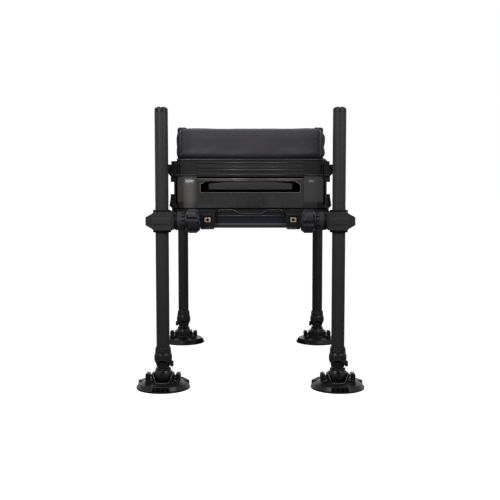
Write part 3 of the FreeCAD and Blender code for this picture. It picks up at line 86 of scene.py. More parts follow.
# Seam lines: their steps, the share of these up each side, and where the sides start and end
SEAM_STEPS = 240
SEAM_SIDE = 0.14
SEAM_FOOT, SEAM_TURN = 3 * MM, 11 * MM
STITCH_GAP = 4.2 * MM
STITCH_PITCH = 5 * MM

# Tray rails: height and radius of each bright edge over the rail's foot, and the castings' arms
RAIL_BEADS = ((3.5 * MM, 0.5 * MM), (13.1 * MM, 0.6 * MM), (18 * MM, 0.4 * MM), (26.2 * MM, 0.45 * MM))
CASTING_ARM = 49.5 * MM
CASTING_HALF = 152 * MM
CASTING_LIP_RISE = 3 * MM

# Cushion board: its corners' radius and its edging's
BOARD_CORNER = 10 * MM
EDGING_R = 0.75 * MM

# Deck: the raised line on its front, across and down from its top, in millimetres, and half the seam's length
DECK_LINE = (
    (-65.5, 4.6), (-58, 0.6), (-33.5, 0.6), (-21, 7.6), (21, 7.6), (33.5, 0.6), (58, 0.6), (65.5, 4.6))
DECK_SEAM_HALF = 69 * MM

# Drawer front: the radius and the sides of the lip along its top
DRAWER_LIP_R = 1.2 * MM
DRAWER_LIP_SIDES = 12

# Seal under the drawer box, near-black to paint the shade of the gap: its distance inside the deck's edges,
# its height over the deck and its radius
BOX_SEAL_INSET = (2 * MM, 2.6 * MM)
BOX_SEAL_RISE = 1.3 * MM
BOX_SEAL_R = 1.35 * MM

# Extrusions: how much the drawn lines vary their gloss, the heights over which a tube's painted shade near
# the floor fades out, and how high the beams' strip of painted floor light reaches
DRAWN_STREAK = 0.35
SHADE_START, SHADE_END = 0.08, 0.34
BEAM_SKIRT = 9.4 * MM

# Grip pocket of the drawer's front: half its width, its heights, the cut of its upper corners, its depth
# and the radius of its rim
GRIP_HALF = 96 * MM
GRIP_LOW, GRIP_HIGH = 370.6 * MM, 393 * MM
GRIP_BEVEL = 7 * MM
GRIP_DEPTH = 23 * MM
GRIP_RIM_R = 0.55 * MM

# Accessory brackets: the ends of their lips from the middle, and a lip's radius
LIP_SPAN = (69 * MM, 94 * MM)
LIP_R = 1.7 * MM

# Clamps: the near-black ring of painted shade round a boss's waist: its middle from the leg's axis, its
# radius and its thickness
WAIST_OFFSET = 26.9 * MM
WAIST_R = 13.8 * MM
WAIST_SHADE_THICKNESS = 3.6 * MM
WAIST_STEPS = 48

# Feet: the corners' names, the ball cup, and the edge of its window, across and up in millimetres
CORNERS = ("front_left", "front_right", "rear_left", "rear_right")
CUP_R = 21.9 * MM
WINDOW_SILL = 12.4 * MM
WINDOW_EDGE = (
    (-18.7, 16.6), (-16.8, 12), (-14.4, 6), (-12, 0.2), (-6, 0), (0, 0), (6, 0), (12, 0.2), (14.4, 6),
    (16.8, 12), (18.7, 16.6))
WINDOW_BEAD_R = 0.75 * MM


def studio():
    """Camera at the photograph's view, soft lamps, small cards that the posts mirror, and a pale floor."""
    camera = bpy.data.cameras.new("photo_camera")
    camera.lens = CAMERA_LENS
    camera.clip_start = CAMERA_NEAR
    holder = bpy.data.objects.new("photo_camera", camera)
    holder.location = CAMERA_PLACE
    holder.rotation_euler = Euler((math.pi / 2 - CAMERA_PITCH, 0, 0))
    bpy.context.scene.collection.objects.link(holder)
    bpy.context.scene.camera = holder
    bpy.context.scene.view_settings.view_transform = "Standard"

    def lamp(name, place, aim, size, power, colour=(1, 1, 1)):
        light = bpy.data.lights.new(name, "AREA")
        light.shape = "RECTANGLE"
        light.size, light.size_y = size
        light.energy = power
        light.color = colour
        owner = bpy.data.objects.new(name, light)
        owner.location = place
        owner.rotation_euler = (Vector(aim) - Vector(place)).to_track_quat("-Z", "Y").to_euler()
        bpy.context.scene.collection.objects.link(owner)

    lamp("overhead_box", (0.05, -0.45, 1.6), (0, 0, 0.4), (1.0, 0.8), 4.8)
    lamp("left_box", (-0.52, -0.93, 0.8), (0, 0, 0.36), (0.4, 0.5), 8.4)
    lamp("right_box", (0.65, -0.78, 0.82), (0, 0, 0.36), (0.4, 0.5), 6.0)
    lamp("warm_card", (-0.3365, -3.0, 0.354), (-0.12, 0, 0.374), (0.062, 0.143), 0.034, (1.0, 0.87, 0.76))
    lamp("warm_core", (-0.331, -2.995, 0.358), (-0.12, 0, 0.374), (0.03, 0.13), 0.0095, (1.0, 0.85, 0.72))
    lamp("bright_strip", (-0.333, -2.99, 0.435), (-0.12, 0, 0.374), (0.044, 0.011), 0.03)
    lamp("right_glint", (0.335, -2.99, 0.435), (0.12, 0, 0.374), (0.03, 0.007), 0.005)

    world = bpy.data.worlds.new("pale_room")
    world.use_nodes = True
    tree = world.node_tree
    rays = tree.nodes.new("ShaderNodeLightPath")
    seen = tree.nodes.new("ShaderNodeMath")
    seen.operation = "MAXIMUM"
    tree.links.new(rays.outputs["Is Camera Ray"], seen.inputs[0])
    tree.links.new(rays.outputs["Is Glossy Ray"], seen.inputs[1])
    also = tree.nodes.new("ShaderNodeMath")
    also.operation = "MAXIMUM"
    tree.links.new(seen.outputs[0], also.inputs[0])
    tree.links.new(rays.outputs["Is Transmission Ray"], also.inputs[1])
    strength = tree.nodes.new("ShaderNodeMapRange")
    strength.inputs["To Min"].default_value = ROOM_LIGHT
    strength.inputs["To Max"].default_value = 1.0
    tree.links.new(also.outputs[0], strength.inputs["Value"])
    background = tree.nodes["Background"]
    background.inputs["Color"].default_value = (1, 1, 1, 1)
    tree.links.new(strength.outputs["Result"], background.inputs["Strength"])
    bpy.context.scene.world = world

    ground = bmesh.new()
    bmesh.ops.create_grid(ground, x_segments=1, y_segments=1, size=FLOOR_HALF)
    floor = settled("studio_floor", ground)
    pale = Finish("floor_white", (0.35, 0.35, 0.35), 0.9)
    seen_from_camera = pale.node("ShaderNodeLightPath", out="Is Camera Ray")
    pale.fixed(**{"Specular IOR Level": 0.1, "Emission Strength": FLOOR_GLOW})
    pale.feed("Emission Color", pale.blend(seen_from_camera, (0, 0, 0, 1), (1, 1, 1, 1)))
    floor.data.materials.append(pale.material)


def settled(name, mesh_form, smooth=False):
    """Turns a bmesh into an object of the scene."""
    mesh = bpy.data.meshes.new(name)
    mesh_form.to_mesh(mesh)
    mesh_form.free()
    for face in mesh.polygons:
        face.use_smooth = smooth
    piece = bpy.data.objects.new(name, mesh)
    bpy.context.scene.collection.objects.link(piece)
    return piece


# Finishes

class Wire:
    """One output in a material's node tree; arithmetic on wires adds Math nodes."""

    def __init__(self, finish, socket):
        self.finish, self.socket = finish, socket

    def combined(self, operation, first, second):
        return self.finish.node("ShaderNodeMath", {"operation": operation}, {0: first, 1: second})

    def __add__(self, other):
        return self.combined("ADD", self, other)

    __radd__ = __add__

    def __sub__(self, other):
        return self.combined("SUBTRACT", self, other)

    def __rsub__(self, other):
        return self.combined("SUBTRACT", other, self)

    def __mul__(self, other):
        return self.combined("MULTIPLY", self, other)

    __rmul__ = __mul__


class Finish:
    """A material round one Principled shader, with the one method that adds its other nodes."""

    def __init__(self, name, colour, roughness):
        self.material = bpy.data.materials.new(name)
        self.material.use_nodes = True
        self.tree = self.material.node_tree
        self.shader = self.tree.nodes["Principled BSDF"]
        self.colour = (*colour, 1.0)
        self.shader.inputs["Base Color"].default_value = self.colour
        self.shader.inputs["Roughness"].default_value = roughness
        self.place = None

    def join(self, value, socket):
        """Links a wire to a socket, or sets the socket to a plain value."""
        if isinstance(value, Wire):
            self.tree.links.new(value.socket, socket)
        else:
            socket.default_value = value

    def node(self, kind, settings=None, sockets=None, out=0):
        """Adds a node with its settings and inputs, and returns one of its outputs as a wire."""
        node = self.tree.nodes.new(kind)
        for key, value in (settings or {}).items():
            setattr(node, key, value)
        for key, value in (sockets or {}).items():
            self.join(value, node.inputs[key])
        return Wire(self, node.outputs[out])

    def fixed(self, **values):
        """Sets inputs of the shader to one value each."""
        for name, value in values.items():
            self.shader.inputs[name].default_value = value

    def feed(self, name, value):
        """Links one input of the shader to a wire, or sets it."""
        self.join(value, self.shader.inputs[name])

    def at(self, stretch=(1, 1, 1)):
        """Object coordinates, stretched along the axes."""
        if self.place is None:
            self.place = self.node("ShaderNodeTexCoord", out="Object")
        if tuple(stretch) == (1, 1, 1):
            return self.place
        return self.node("ShaderNodeMapping", {"vector_type": "POINT"}, {
            "Vector": self.place, "Scale": stretch})

    def noise(self, scale, detail=3.0, stretch=(1, 1, 1), roughness=0.55):
        return self.node("ShaderNodeTexNoise", None, {
            "Vector": self.at(stretch), "Scale": scale, "Detail": detail, "Roughness": roughness})

    def shades(self, mask, dark, light):
        """Base colour between two shades of the finish's colour."""
        pair = [tuple(channel * factor for channel in self.colour[:3]) + (1,) for factor in (dark, light)]
        return self.blend(mask, pair[0], pair[1])

    def blend(self, mask, first, second):
        """First colour where the mask is 0, second colour where it is 1."""
        return self.node("ShaderNodeMix", {"data_type": "RGBA"}, {
            "Factor": mask, 6: first, 7: second}, out=2)

    def span(self, value, start, end, low=0.0, high=1.0):
        """Value's place between start and end, as a number from low to high."""
        return self.node("ShaderNodeMapRange", None, {
            "Value": value, "From Min": start, "From Max": end, "To Min": low, "To Max": high})

    def edges(self, radius):
        """Normal rounded over sharp edges, and a mask of where it turns."""
        rounded = self.node("ShaderNodeBevel", {"samples": 4}, {"Radius": radius})
        true = self.node("ShaderNodeNewGeometry", out="True Normal")
        facing = self.node("ShaderNodeVectorMath", {"operation": "DOT_PRODUCT"}, {
            0: rounded, 1: true}, out="Value")
        return rounded, self.span(facing, 0.995, 0.8)

    def relief(self, height, strength, distance, normal=None):
        """Fine bumps from a height, over the rounded normal where one is given."""
        sockets = {"Strength": strength, "Distance": distance, "Height": height}
        if normal is not None:
            sockets["Normal"] = normal
        self.feed("Normal", self.node("ShaderNodeBump", None, sockets))


def moulded(name, colour, roughness, grain=900.0, depth=0.25, specular=0.35, wear_and_highlight=1.6, mottle=0.1,
            haze=0.16, edge=0.7 * MM, stretch=(1, 1, 1)):
    """Moulded plastic: fine grain, slightly uneven shade, and edges a little lighter, partly rubbed and
    partly a painted highlight.
    """
    finish = Finish(name, colour, roughness)
    finish.fixed(**{"Specular IOR Level": specular})
    rounded, worn_and_highlit = finish.edges(edge)
    cloud = finish.noise(22, 4.0)
    speck = finish.noise(grain, 2.0, stretch)
    broad = finish.span(cloud, 0.34, 0.66)
    shade = broad * 0.7 + speck * 0.3
    patchy = finish.noise(60, 3.0)
    base = finish.shades(shade, 1 - mottle * 2, 1 + mottle * 2)
    # Edge colour: partly wear, partly a painted highlight along sharp edges
    light = tuple(channel * (1 + wear_and_highlight) + 0.004 for channel in colour) + (1,)
    rubbed_and_highlit = worn_and_highlit * finish.span(patchy, 0.3, 0.7)
    finish.feed("Base Color", finish.blend(rubbed_and_highlit * 0.8, base, light))
    finish.feed("Roughness", cloud * haze + (roughness - haze / 2))
    finish.relief(speck, depth, 0.15 * MM, rounded)
    return finish.material


def drawn(name, colour, roughness, along, specular, lower=1.0):
    """Anodised extrusion: fine lines along it, edges lighter, partly rubbed and partly a painted highlight,
    and painted shade towards the floor.
    """
    finish = Finish(name, colour, roughness)
    finish.fixed(**{"Specular IOR Level": specular})
    rounded, worn_and_highlit = finish.edges(0.5 * MM)
    stretch = [1.0 if axis == along else 60.0 for axis in "xyz"]
    lines = finish.noise(14, 2.0, stretch)
    marks = finish.noise(34, 5.0)
    height = finish.node("ShaderNodeSeparateXYZ", None, {"Vector": finish.at()}, out="Z")
    # Painted shade: below SHADE_END the colour darkens towards the floor, down to the share given by lower
    painted_height_shade = finish.span(height, SHADE_START, SHADE_END, lower)
    base = finish.shades((lines * 0.65 + marks * 0.35) * painted_height_shade + painted_height_shade - 1, 0.7, 1.35)
    # Edge colour: partly wear, partly a painted highlight
    light = tuple(channel * 2.2 + 0.006 for channel in colour) + (1,)
    finish.feed("Base Color", finish.blend(worn_and_highlit * 0.5, base, light))
    smoothest = roughness - DRAWN_STREAK * 0.25 - 0.05
    finish.feed("Roughness", lines * DRAWN_STREAK * 0.5 + marks * 0.1 + smoothest)
    finish.relief(lines, 0.12, 0.1 * MM, rounded)
    return finish.material


def beam_finish(name, colour, floor_lit_colour):
    """Anodised beam, with painted light from the floor: a paler grey on its lower bevel and the strip just
    above it.
    """
    finish = Finish(name, colour, 0.5)
    finish.fixed(**{"Specular IOR Level": 0.06})
    rounded, worn_and_highlit = finish.edges(0.5 * MM)
    lines = finish.noise(14, 2.0, (1, 60, 60))
    facing = finish.node("ShaderNodeSeparateXYZ", None, {
        "Vector": finish.node("ShaderNodeNewGeometry", out="True Normal")}, out="Z")
    # Painted light: faces turned down and the strip above them take the paler colour, as if lit from the
    # floor
    down = finish.span(facing, -0.35, -0.6)
    height = finish.node("ShaderNodeSeparateXYZ", None, {"Vector": finish.at()}, out="Z")
    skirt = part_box("cross_beams")[0][2] + BEAM_SKIRT
    low_down = finish.span(height, skirt + 0.5 * MM, skirt - 0.5 * MM)
    lower = down.combined("MAXIMUM", down, low_down)
    floor_lit_base = finish.blend(lower, finish.shades(lines, 0.75, 1.3), (*floor_lit_colour, 1))
    # Edge colour: partly wear, partly a painted highlight
    light = tuple(channel * 3 + 0.008 for channel in colour) + (1,)
    finish.feed("Base Color", finish.blend(worn_and_highlit * 0.4, floor_lit_base, light))
    finish.feed("Roughness", lines * 0.12 + 0.42)
    finish.relief(lines, 0.12, 0.1 * MM, rounded)
    return finish.material


def cushion_cover(name, colour):
    """Coated cloth: pebbled grain, soft creases and a low gloss."""
    finish = Finish(name, colour, 0.5)
    finish.fixed(**{"Specular IOR Level": 0.14, "Sheen Weight": 0.01, "Sheen Roughness": 0.5})
    pebble = finish.node("ShaderNodeTexVoronoi", {"feature": "SMOOTH_F1"}, {
        "Vector": finish.at(), "Scale": 620.0, "Smoothness": 0.6}, out="Distance")
    fine = finish.noise(1500, 2.0)
    crease = finish.noise(30, 6.0)
    cloud = finish.noise(9, 3.0)
    finish.feed("Base Color", finish.shades(cloud * 0.6 + crease * 0.25 + pebble * 0.15, 0.72, 1.3))
    finish.feed("Roughness", cloud * 0.18 + pebble * 0.12 + 0.34)
    finish.relief(pebble * -0.6 + fine * 0.25 + crease * 0.5, 0.35, 0.35 * MM)
    return finish.material


def bare_metal(name, colour, roughness):
    """Bare metal with marks that vary its shade and gloss."""
    finish = Finish(name, colour, roughness)
    finish.fixed(Metallic=1.0)
    rounded, _ = finish.edges(0.4 * MM)
    marks = finish.noise(160, 4.0)
    finish.feed("Base Color", finish.shades(marks, 0.6, 1.3))
    finish.feed("Roughness", marks * 0.3 + (roughness - 0.15))
    finish.relief(marks, 0.1, 0.1 * MM, rounded)
    return finish.material


def make_finishes():
    """Every finish by name; the record's material slots use the same names."""
    return {
        # lower=0.66 paints shade on the legs towards the floor
        "anodised_tube": drawn("anodised_tube", (0.0238, 0.023, 0.0238), 0.42, "z", 0.08, lower=0.66),
        # The second colour is painted floor light on the beam's lower bevel
        "anodised_beam": beam_finish("anodised_beam", (0.0085, 0.0095, 0.0145), (0.051, 0.051, 0.052)),
        "anodised_profile": drawn("anodised_profile", (0.0155, 0.0155, 0.0155), 0.5, "y", 0.1),
        "cast_black": moulded("cast_black", (0.0185, 0.018, 0.0185), 0.5, 700, 0.3, 0.1, 2.6, edge=1.3 * MM),
        "casting_black": moulded("casting_black", (0.0118, 0.0118, 0.0118), 0.6, 800, 0.3, 0.08),
        "black_plastic": moulded("black_plastic", (0.0056, 0.0056, 0.0058), 0.34, 900, 0.2, 0.16, 6.0,
                                 edge=1.3 * MM),
        "gloss_black_plastic": moulded("gloss_black_plastic", (0.0062, 0.006, 0.0062), 0.3, 1000, 0.1, 0.16,
                                       4.0, edge=1 * MM),
        "knob_plastic": moulded("knob_plastic", (0.0065, 0.0061, 0.0088), 0.32, 900, 0.2, 0.22, 6.0,
                                edge=1.2 * MM),
        "nylon": moulded("nylon", (0.003, 0.003, 0.003), 0.4, 1200, 0.08, 0.06),
        "screw_steel": bare_metal("screw_steel", (0.05, 0.05, 0.052), 0.4),
        "bronze": bare_metal("bronze", (0.46, 0.37, 0.3), 0.42),
        "deck_black": moulded("deck_black", (0.0102, 0.0096, 0.0108), 0.5, 900, 0.15, 0.06),
        "post_gloss": moulded("post_gloss", (0.021, 0.0205, 0.0205), 0.03, 8, 0.016, 0.3, 0.8, haze=0.012,
                              stretch=(55, 55, 1)),
        "panel_black": moulded("panel_black", (0.012, 0.012, 0.012), 0.4, 900, 0.12, 0.12),
        "drawer_gloss": moulded("drawer_gloss", (0.019, 0.019, 0.019), 0.3, 26, 0.04, 0.18, 0.8, 0.24,
                                stretch=(1, 1, 0.12)),
        "handle_rubber": moulded("handle_rubber", (0.0132, 0.0132, 0.0132), 0.5, 1000, 0.25, 0.2, 0.8),
        "tray_plastic": moulded("tray_plastic", (0.012, 0.012, 0.0125), 0.5, 700, 0.3, 0.1),
        "board_black": moulded("board_black", (0.008, 0.008, 0.008), 0.5, 800, 0.2, 0.08),
        "seat_cover": cushion_cover("seat_cover", (0.0236, 0.0221, 0.0246)),
        "welt_cord": moulded("welt_cord", (0.04, 0.038, 0.042), 0.45, 1200, 0.2, 0.3, 0.6),
        "stitch_thread": moulded("stitch_thread", (0.03, 0.029, 0.031), 0.6, 2400, 0.4, 0.2, 0.3),
        "polished_edge": bare_metal("polished_edge", (0.085, 0.085, 0.087), 0.35),
        # Lighter colour: painted highlight on thin edge rods
        "painted_highlight_edge": moulded("painted_highlight_edge", (0.045, 0.044, 0.045), 0.4, 900, 0.1, 0.3, 1.0),
        # Tan colour: painted reflection on the drawer's top lip and painted highlight on the grip pocket's
        # rim
        "painted_glint_lip": moulded("painted_glint_lip", (0.085, 0.076, 0.066), 0.25, 90, 0.1, 0.4, 0.8, 0.42),
        "lighter_lip": moulded("lighter_lip", (0.034, 0.0325, 0.031), 0.4, 300, 0.1, 0.25, 1.0, 0.25),
        # Near-black: painted shade, for the grip pocket and the gap under the drawer box
        "painted_shade_black": moulded("painted_shade_black", (0.0015, 0.0015, 0.0015), 0.9, 1500, 0.3, 0.0, 0.2),
    }


def dress_nodes(finishes):
    """Gives every CAD node the finish of its material slot."""
    for row in frame["record"]["subparts"]:
        node = frame["nodes"][row["node"]]
        node.data.materials.clear()
        node.data.materials.append(finishes[row["material_slot"]])


# The cushion

def near(value, middle, spread):
    """1 at the middle, falling away to 0 on both sides."""
    return math.exp(-((value - middle) / spread) ** 2)


def ramp(value, start, end):
    """0 before start, 1 after end, smooth between."""
    share = min(1.0, max(0.0, (value - start) / (end - start)))
    return share * share * (3 - 2 * share)


def cushion_blank(low, high):
    """The foam's form: a box with rounded top edges and corners."""
    form = bmesh.new()
    grown = CUSHION_GROWTH
    size, middle = high - low, (high + low) / 2
    bmesh.ops.create_cube(form, size=1)
    bmesh.ops.scale(form, vec=size + Vector((2 * grown.x, 2 * grown.y, grown.z)), verts=form.verts)
    bmesh.ops.translate(form, vec=(middle.x, middle.y, middle.z + grown.z / 2), verts=form.verts)
    upright = [edge for edge in form.edges if abs(edge.verts[0].co.z - edge.verts[1].co.z) > MM]
    bmesh.ops.bevel(form, geom=upright, offset=CUSHION_CORNER, segments=4, profile=0.5, affect="EDGES",
                    material=-1)
    rim = [edge for edge in form.edges if all(corner.co.z > middle.z + MM for corner in edge.verts)
           and any(abs(face.normal.z) < 0.5 for face in edge.link_faces)]
    bmesh.ops.bevel(form, geom=rim, offset=CUSHION_ROUND, segments=5, profile=0.5, affect="EDGES",
                    material=-1)
    return settled("cushion_blank", form, smooth=True)


def swollen(pad, floor_height):
    """Pads the blank out with a short cloth simulation; its base stays on the board."""
    remesh = pad.modifiers.new("even_mesh", "REMESH")
    remesh.mode = "VOXEL"
    remesh.voxel_size = CUSHION_VOXEL
    remesh.use_smooth_shade = True
    take_shape(pad)
    start = [(corner.co.copy(), corner.normal.copy()) for corner in pad.data.vertices]
    held = pad.vertex_groups.new(name="on_the_board")
    base = [corner.index for corner in pad.data.vertices if corner.co.z < floor_height + 2 * MM]
    held.add(base, 1.0, "REPLACE")
    cloth = pad.modifiers.new("cover", "CLOTH")
    rules = cloth.settings
    rules.quality, rules.mass = 6, 0.3
    rules.tension_stiffness = rules.compression_stiffness = 12
    rules.bending_stiffness = 0.6
    rules.use_pressure, rules.uniform_pressure_force = True, CUSHION_PRESSURE
    rules.effector_weights.gravity = 0
    rules.vertex_group_mass = held.name
    cloth.point_cache.frame_start, cloth.point_cache.frame_end = 1, SIM_FRAMES
    for moment in range(1, SIM_FRAMES + 1):
        bpy.context.scene.frame_set(moment)
    take_shape(pad)
    bpy.context.scene.frame_set(1)
    for corner, (before, facing) in zip(pad.data.vertices, start):
        step = corner.co - before
        sunk = min(0.0, step.dot(facing))
        step -= facing * sunk * (1 - CUSHION_HOLD)
        corner.co = before + step * min(1.0, CUSHION_CAP / max(step.length, 1e-9))


def take_shape(piece):
    """Applies every modifier of a piece to its mesh."""
    shaped = bpy.data.meshes.new_from_object(piece.evaluated_get(bpy.context.evaluated_depsgraph_get()))
    piece.modifiers.clear()
    old, piece.data = piece.data, shaped
    bpy.data.meshes.remove(old)


def tailored(pad, low, high):
    """Seam grooves, tucked hem, soft waves and gathered corners; the left end is pulled tighter."""
    middle = (low + high) / 2
    form = bmesh.new()
    form.from_mesh(pad.data)
    form.normal_update()
    for corner in form.verts:
        place, facing = corner.co.copy(), corner.normal.copy()
        side = abs(place.x)
        slack = 1.0 if place.x > 0 else LEFT_SLACK
        height = ramp(place.z, low.z + 4 * MM, low.z + 16 * MM)
        corner.co -= facing * SEAM_DEPTH * near(side, SEAM_X, SEAM_WIDTH) * height
        swell = ramp(side, SEAM_X + 1 * MM, SEAM_X + 7 * MM)
        waist = near(place.z, high.z - 20 * MM, 15 * MM) - 0.75 * near(place.z, low.z + 15 * MM, 11 * MM)
        corner.co.x += math.copysign(END_SWELL * swell * waist * slack, place.x)
        tuck = 1 - ramp(place.z, low.z, low.z + 7 * MM)
        outward = Vector((place.x, place.y, 0)) - Vector((middle.x, middle.y, 0))
        rim = max(abs(outward.x) / (high.x - middle.x), abs(outward.y) / (high.y - middle.y))
        corner.co -= Vector((facing.x, facing.y, 0)) * HEM_TUCK * tuck * ramp(rim, 0.8, 0.95)
        wave = noise.noise(Vector((place.x * 17, place.y * 17, place.z * 26)))
        corner.co += facing * wave * COVER_WAVE * height
        end = ramp(side, SEAM_X - 34 * MM, SEAM_X - 3 * MM)
        end *= ramp(place.z, high.z - 26 * MM, high.z - 8 * MM)
        edge = ramp(abs(place.y), high.y - 40 * MM, high.y - 12 * MM)
        folds = noise.noise(Vector((place.x * 130, place.y * 70, place.z * 110 + place.x * 60)))
        corner.co += facing * (1 - abs(folds) * 3.2) * COVER_PUCKER * end * edge * slack
    form.to_mesh(pad.data)
    form.free()


def seam_line(skin, low, high, x):
    """Points on the cover all round one end, from the front hem over the top to the rear hem.

    In the groove of a seam, the line doubles over itself for about 32 mm where the rays turn from level to
    downward, and again where they turn back.
    """
    reach = high.y + 60 * MM
    climb = high.z - low.z - SEAM_FOOT - SEAM_TURN
    points = []
    for step in range(SEAM_STEPS + 1):
        along = step / SEAM_STEPS
        if along < SEAM_SIDE:
            start = Vector((x, -reach, low.z + SEAM_FOOT + climb * along / SEAM_SIDE))
            aim = Vector((0, 1, 0))
        elif along > 1 - SEAM_SIDE:
            start = Vector((x, reach, high.z - SEAM_TURN - climb * (along + SEAM_SIDE - 1) / SEAM_SIDE))
            aim = Vector((0, -1, 0))
        else:
            share = (along - SEAM_SIDE) / (1 - 2 * SEAM_SIDE)
            turn = math.pi * (0.5 - 0.5 * math.cos(math.pi * share))
            start = Vector((x, -math.cos(turn) * high.y * 0.985, high.z + 40 * MM))
            aim = Vector((0, 0, -1))
        hit, normal, _, _ = skin.ray_cast(start, aim)
        if hit is not None:
            points.append((hit, normal))
    return points


def tube_along(name, points, radius, sides=8):
    """A tube through points, swept with bmesh extrusion. Its last end is closed and its first end is open."""
    form = bmesh.new()
    ring = bmesh.ops.create_circle(form, cap_ends=True, segments=sides, radius=radius)["verts"]
    heading = (points[1] - points[0]).normalized()
    turn = heading.to_track_quat("Z", "X").to_matrix().to_4x4()
    bmesh.ops.transform(form, matrix=Matrix.Translation(points[0]) @ turn, verts=ring)
    face = form.faces[:][0]
    for index in range(1, len(points)):
        ahead = points[min(index + 1, len(points) - 1)] - points[index - 1]
        new = bmesh.ops.extrude_discrete_faces(form, faces=[face])["faces"][0]
        corners = list(new.verts)
        bmesh.ops.translate(form, vec=points[index] - points[index - 1], verts=corners)
        swing = heading.rotation_difference(ahead.normalized()).to_matrix()
        bmesh.ops.rotate(form, cent=points[index], matrix=swing, verts=corners)
        heading, face = ahead.normalized(), new
    bmesh.ops.recalc_face_normals(form, faces=form.faces)
    return settled(name, form, smooth=True)


def make_cushion(finishes):
    """The padded seat: its cover, a welt cord and a row of stitches at each end."""
    low, high = (Vector(corner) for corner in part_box("seat_cushion"))
    pad = cushion_blank(low, high)
    pad.name = "cushion_cover"
    swollen(pad, low.z)
    smoother = pad.modifiers.new("finer", "SUBSURF")
    smoother.levels = smoother.render_levels = 1
    take_shape(pad)
    tailored(pad, low, high)
    for face in pad.data.polygons:
        face.use_smooth = True
    pad.data.materials.clear()
    pad.data.materials.append(finishes["seat_cover"])
    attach(pad, "lid")
    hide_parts("seat_cushion")

    form = bmesh.new()
    form.from_mesh(pad.data)
    skin = BVHTree.FromBMesh(form)
    form.free()
    for side, label in ((-1, "left"), (1, "right")):
        line = seam_line(skin, low, high, side * SEAM_X)
        path = [hit + normal * CUSHION_WELT * 0.2 for hit, normal in line]
        welt = tube_along(f"cushion_welt_{label}", path, CUSHION_WELT / 2)
        fitted(welt, finishes["welt_cord"], "lid")
        stitches = stitch_row(f"cushion_stitches_{label}", skin, low, high, side * (SEAM_X - STITCH_GAP))
        fitted(stitches, finishes["stitch_thread"], "lid")


def stitch_row(name, skin, low, high, x):
    """A row of small stitches pressed into the cover, each a bead stretched along the row."""
    form = bmesh.new()
    line = seam_line(skin, low, high, x)
    walked, last = 0.0, line[0][0]
    for hit, normal in line[1:]:
        walked += (hit - last).length
        if walked >= STITCH_PITCH:
            walked = 0.0
            heading = (hit - last).normalized()
            across = heading.cross(normal).normalized()
            # These three are a left-handed frame, which leaves the faces of a bead pointing inwards
            turn = Matrix((heading, across, normal)).transposed().to_4x4()
            scale = Matrix.Diagonal((STITCH_PITCH * 0.32, 0.42 * MM, 0.4 * MM, 1))
            bmesh.ops.create_icosphere(form, subdivisions=1, radius=1,
                                       matrix=Matrix.Translation(hit + normal * 0.1 * MM) @ turn @ scale)
        last = hit
    return settled(name, form, smooth=True)


# Thin trim on the solids

def rod_between(form, start, end, radius, sides=8):
    """Adds a thin closed rod between two points to a mesh form."""
    start, end = Vector(start), Vector(end)
    turn = (end - start).to_track_quat("Z", "X").to_matrix().to_4x4()
    bmesh.ops.create_cone(form, cap_ends=True, segments=sides, radius1=radius, radius2=radius,
                          depth=(end - start).length, matrix=Matrix.Translation((start + end) / 2) @ turn)


def fitted(piece, finish, body, smooth=True):
    """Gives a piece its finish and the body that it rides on."""
    for face in piece.data.polygons:
        face.use_smooth = smooth
    piece.data.materials.append(finish)
    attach(piece, body)


def make_rail_beads(finishes):
    """Polished edges along the ribs of the tray's rails."""
    low, high = (Vector(corner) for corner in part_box("tray_rails"))
    reach_x = CASTING_HALF - CASTING_ARM
    reach_y = high.y - CASTING_ARM
    form = bmesh.new()
    for rise, radius in RAIL_BEADS:
        height = low.z + rise
        for side in (-1, 1):
            face_y, face_x = side * (high.y - 0.1 * MM), side * (high.x - 0.1 * MM)
            rod_between(form, (-reach_x, face_y, height), (reach_x, face_y, height), radius)
            rod_between(form, (face_x, -reach_y, height), (face_x, reach_y, height), radius)
    fitted(settled("tray_rail_beads", form), finishes["polished_edge"], "frame")


def make_board_edging(finishes):
    """Bright half-round edging along the middle of the cushion board's edge."""
    low, high = (Vector(corner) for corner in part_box("cushion_board"))
    middle = (low.z + high.z) / 2 + 0.4 * MM
    form = bmesh.new()
    bmesh.ops.create_grid(form, x_segments=1, y_segments=1, size=0.5)
    bmesh.ops.scale(form, vec=(high.x - low.x, high.y - low.y, 1), verts=form.verts)
    bmesh.ops.translate(form, vec=(0, 0, middle), verts=form.verts)
    bmesh.ops.bevel(form, geom=form.verts[:], offset=BOARD_CORNER, segments=5, profile=0.5, affect="VERTICES",
                    material=-1)
    path = [vertex.co.copy() for vertex in form.faces[:][0].verts]
    form.free()
    edging = loop_tube("cushion_board_edging", path, EDGING_R)
    fitted(edging, finishes["polished_edge"], "lid")


def loop_tube(name, path, radius):
    """A closed ring of round section through the points of a loop."""
    curve = bpy.data.curves.new(name, "CURVE")
    curve.dimensions, curve.bevel_depth, curve.bevel_resolution = "3D", radius, 2
    spline = curve.splines.new("POLY")
    spline.points.add(len(path) - 1)
    for point, place in zip(spline.points, path):
        point.co = (*place, 1)
    spline.use_cyclic_u = True
    holder = bpy.data.objects.new(name, curve)
    bpy.context.scene.collection.objects.link(holder)
    mesh = bpy.data.meshes.new_from_object(holder.evaluated_get(bpy.context.evaluated_depsgraph_get()))
    bpy.data.objects.remove(holder)
    piece = bpy.data.objects.new(name, mesh)
    bpy.context.scene.collection.objects.link(piece)
    return piece


def grip_outline(inset, depth):
    """Corners of the drawer's grip pocket, drawn in by inset, at one depth."""
    half, low, high = GRIP_HALF - inset, GRIP_LOW + inset, GRIP_HIGH - inset
    bevel = GRIP_BEVEL - inset * 0.4
    return [Vector(place) for place in (
        (-half, depth, low + 2 * MM), (1.5 * MM - half, depth, low), (half - 1.5 * MM, depth, low),
        (half, depth, low + 2 * MM), (half, depth, high - bevel), (half - bevel * 1.6, depth, high),
        (bevel * 1.6 - half, depth, high), (-half, depth, high - bevel))]


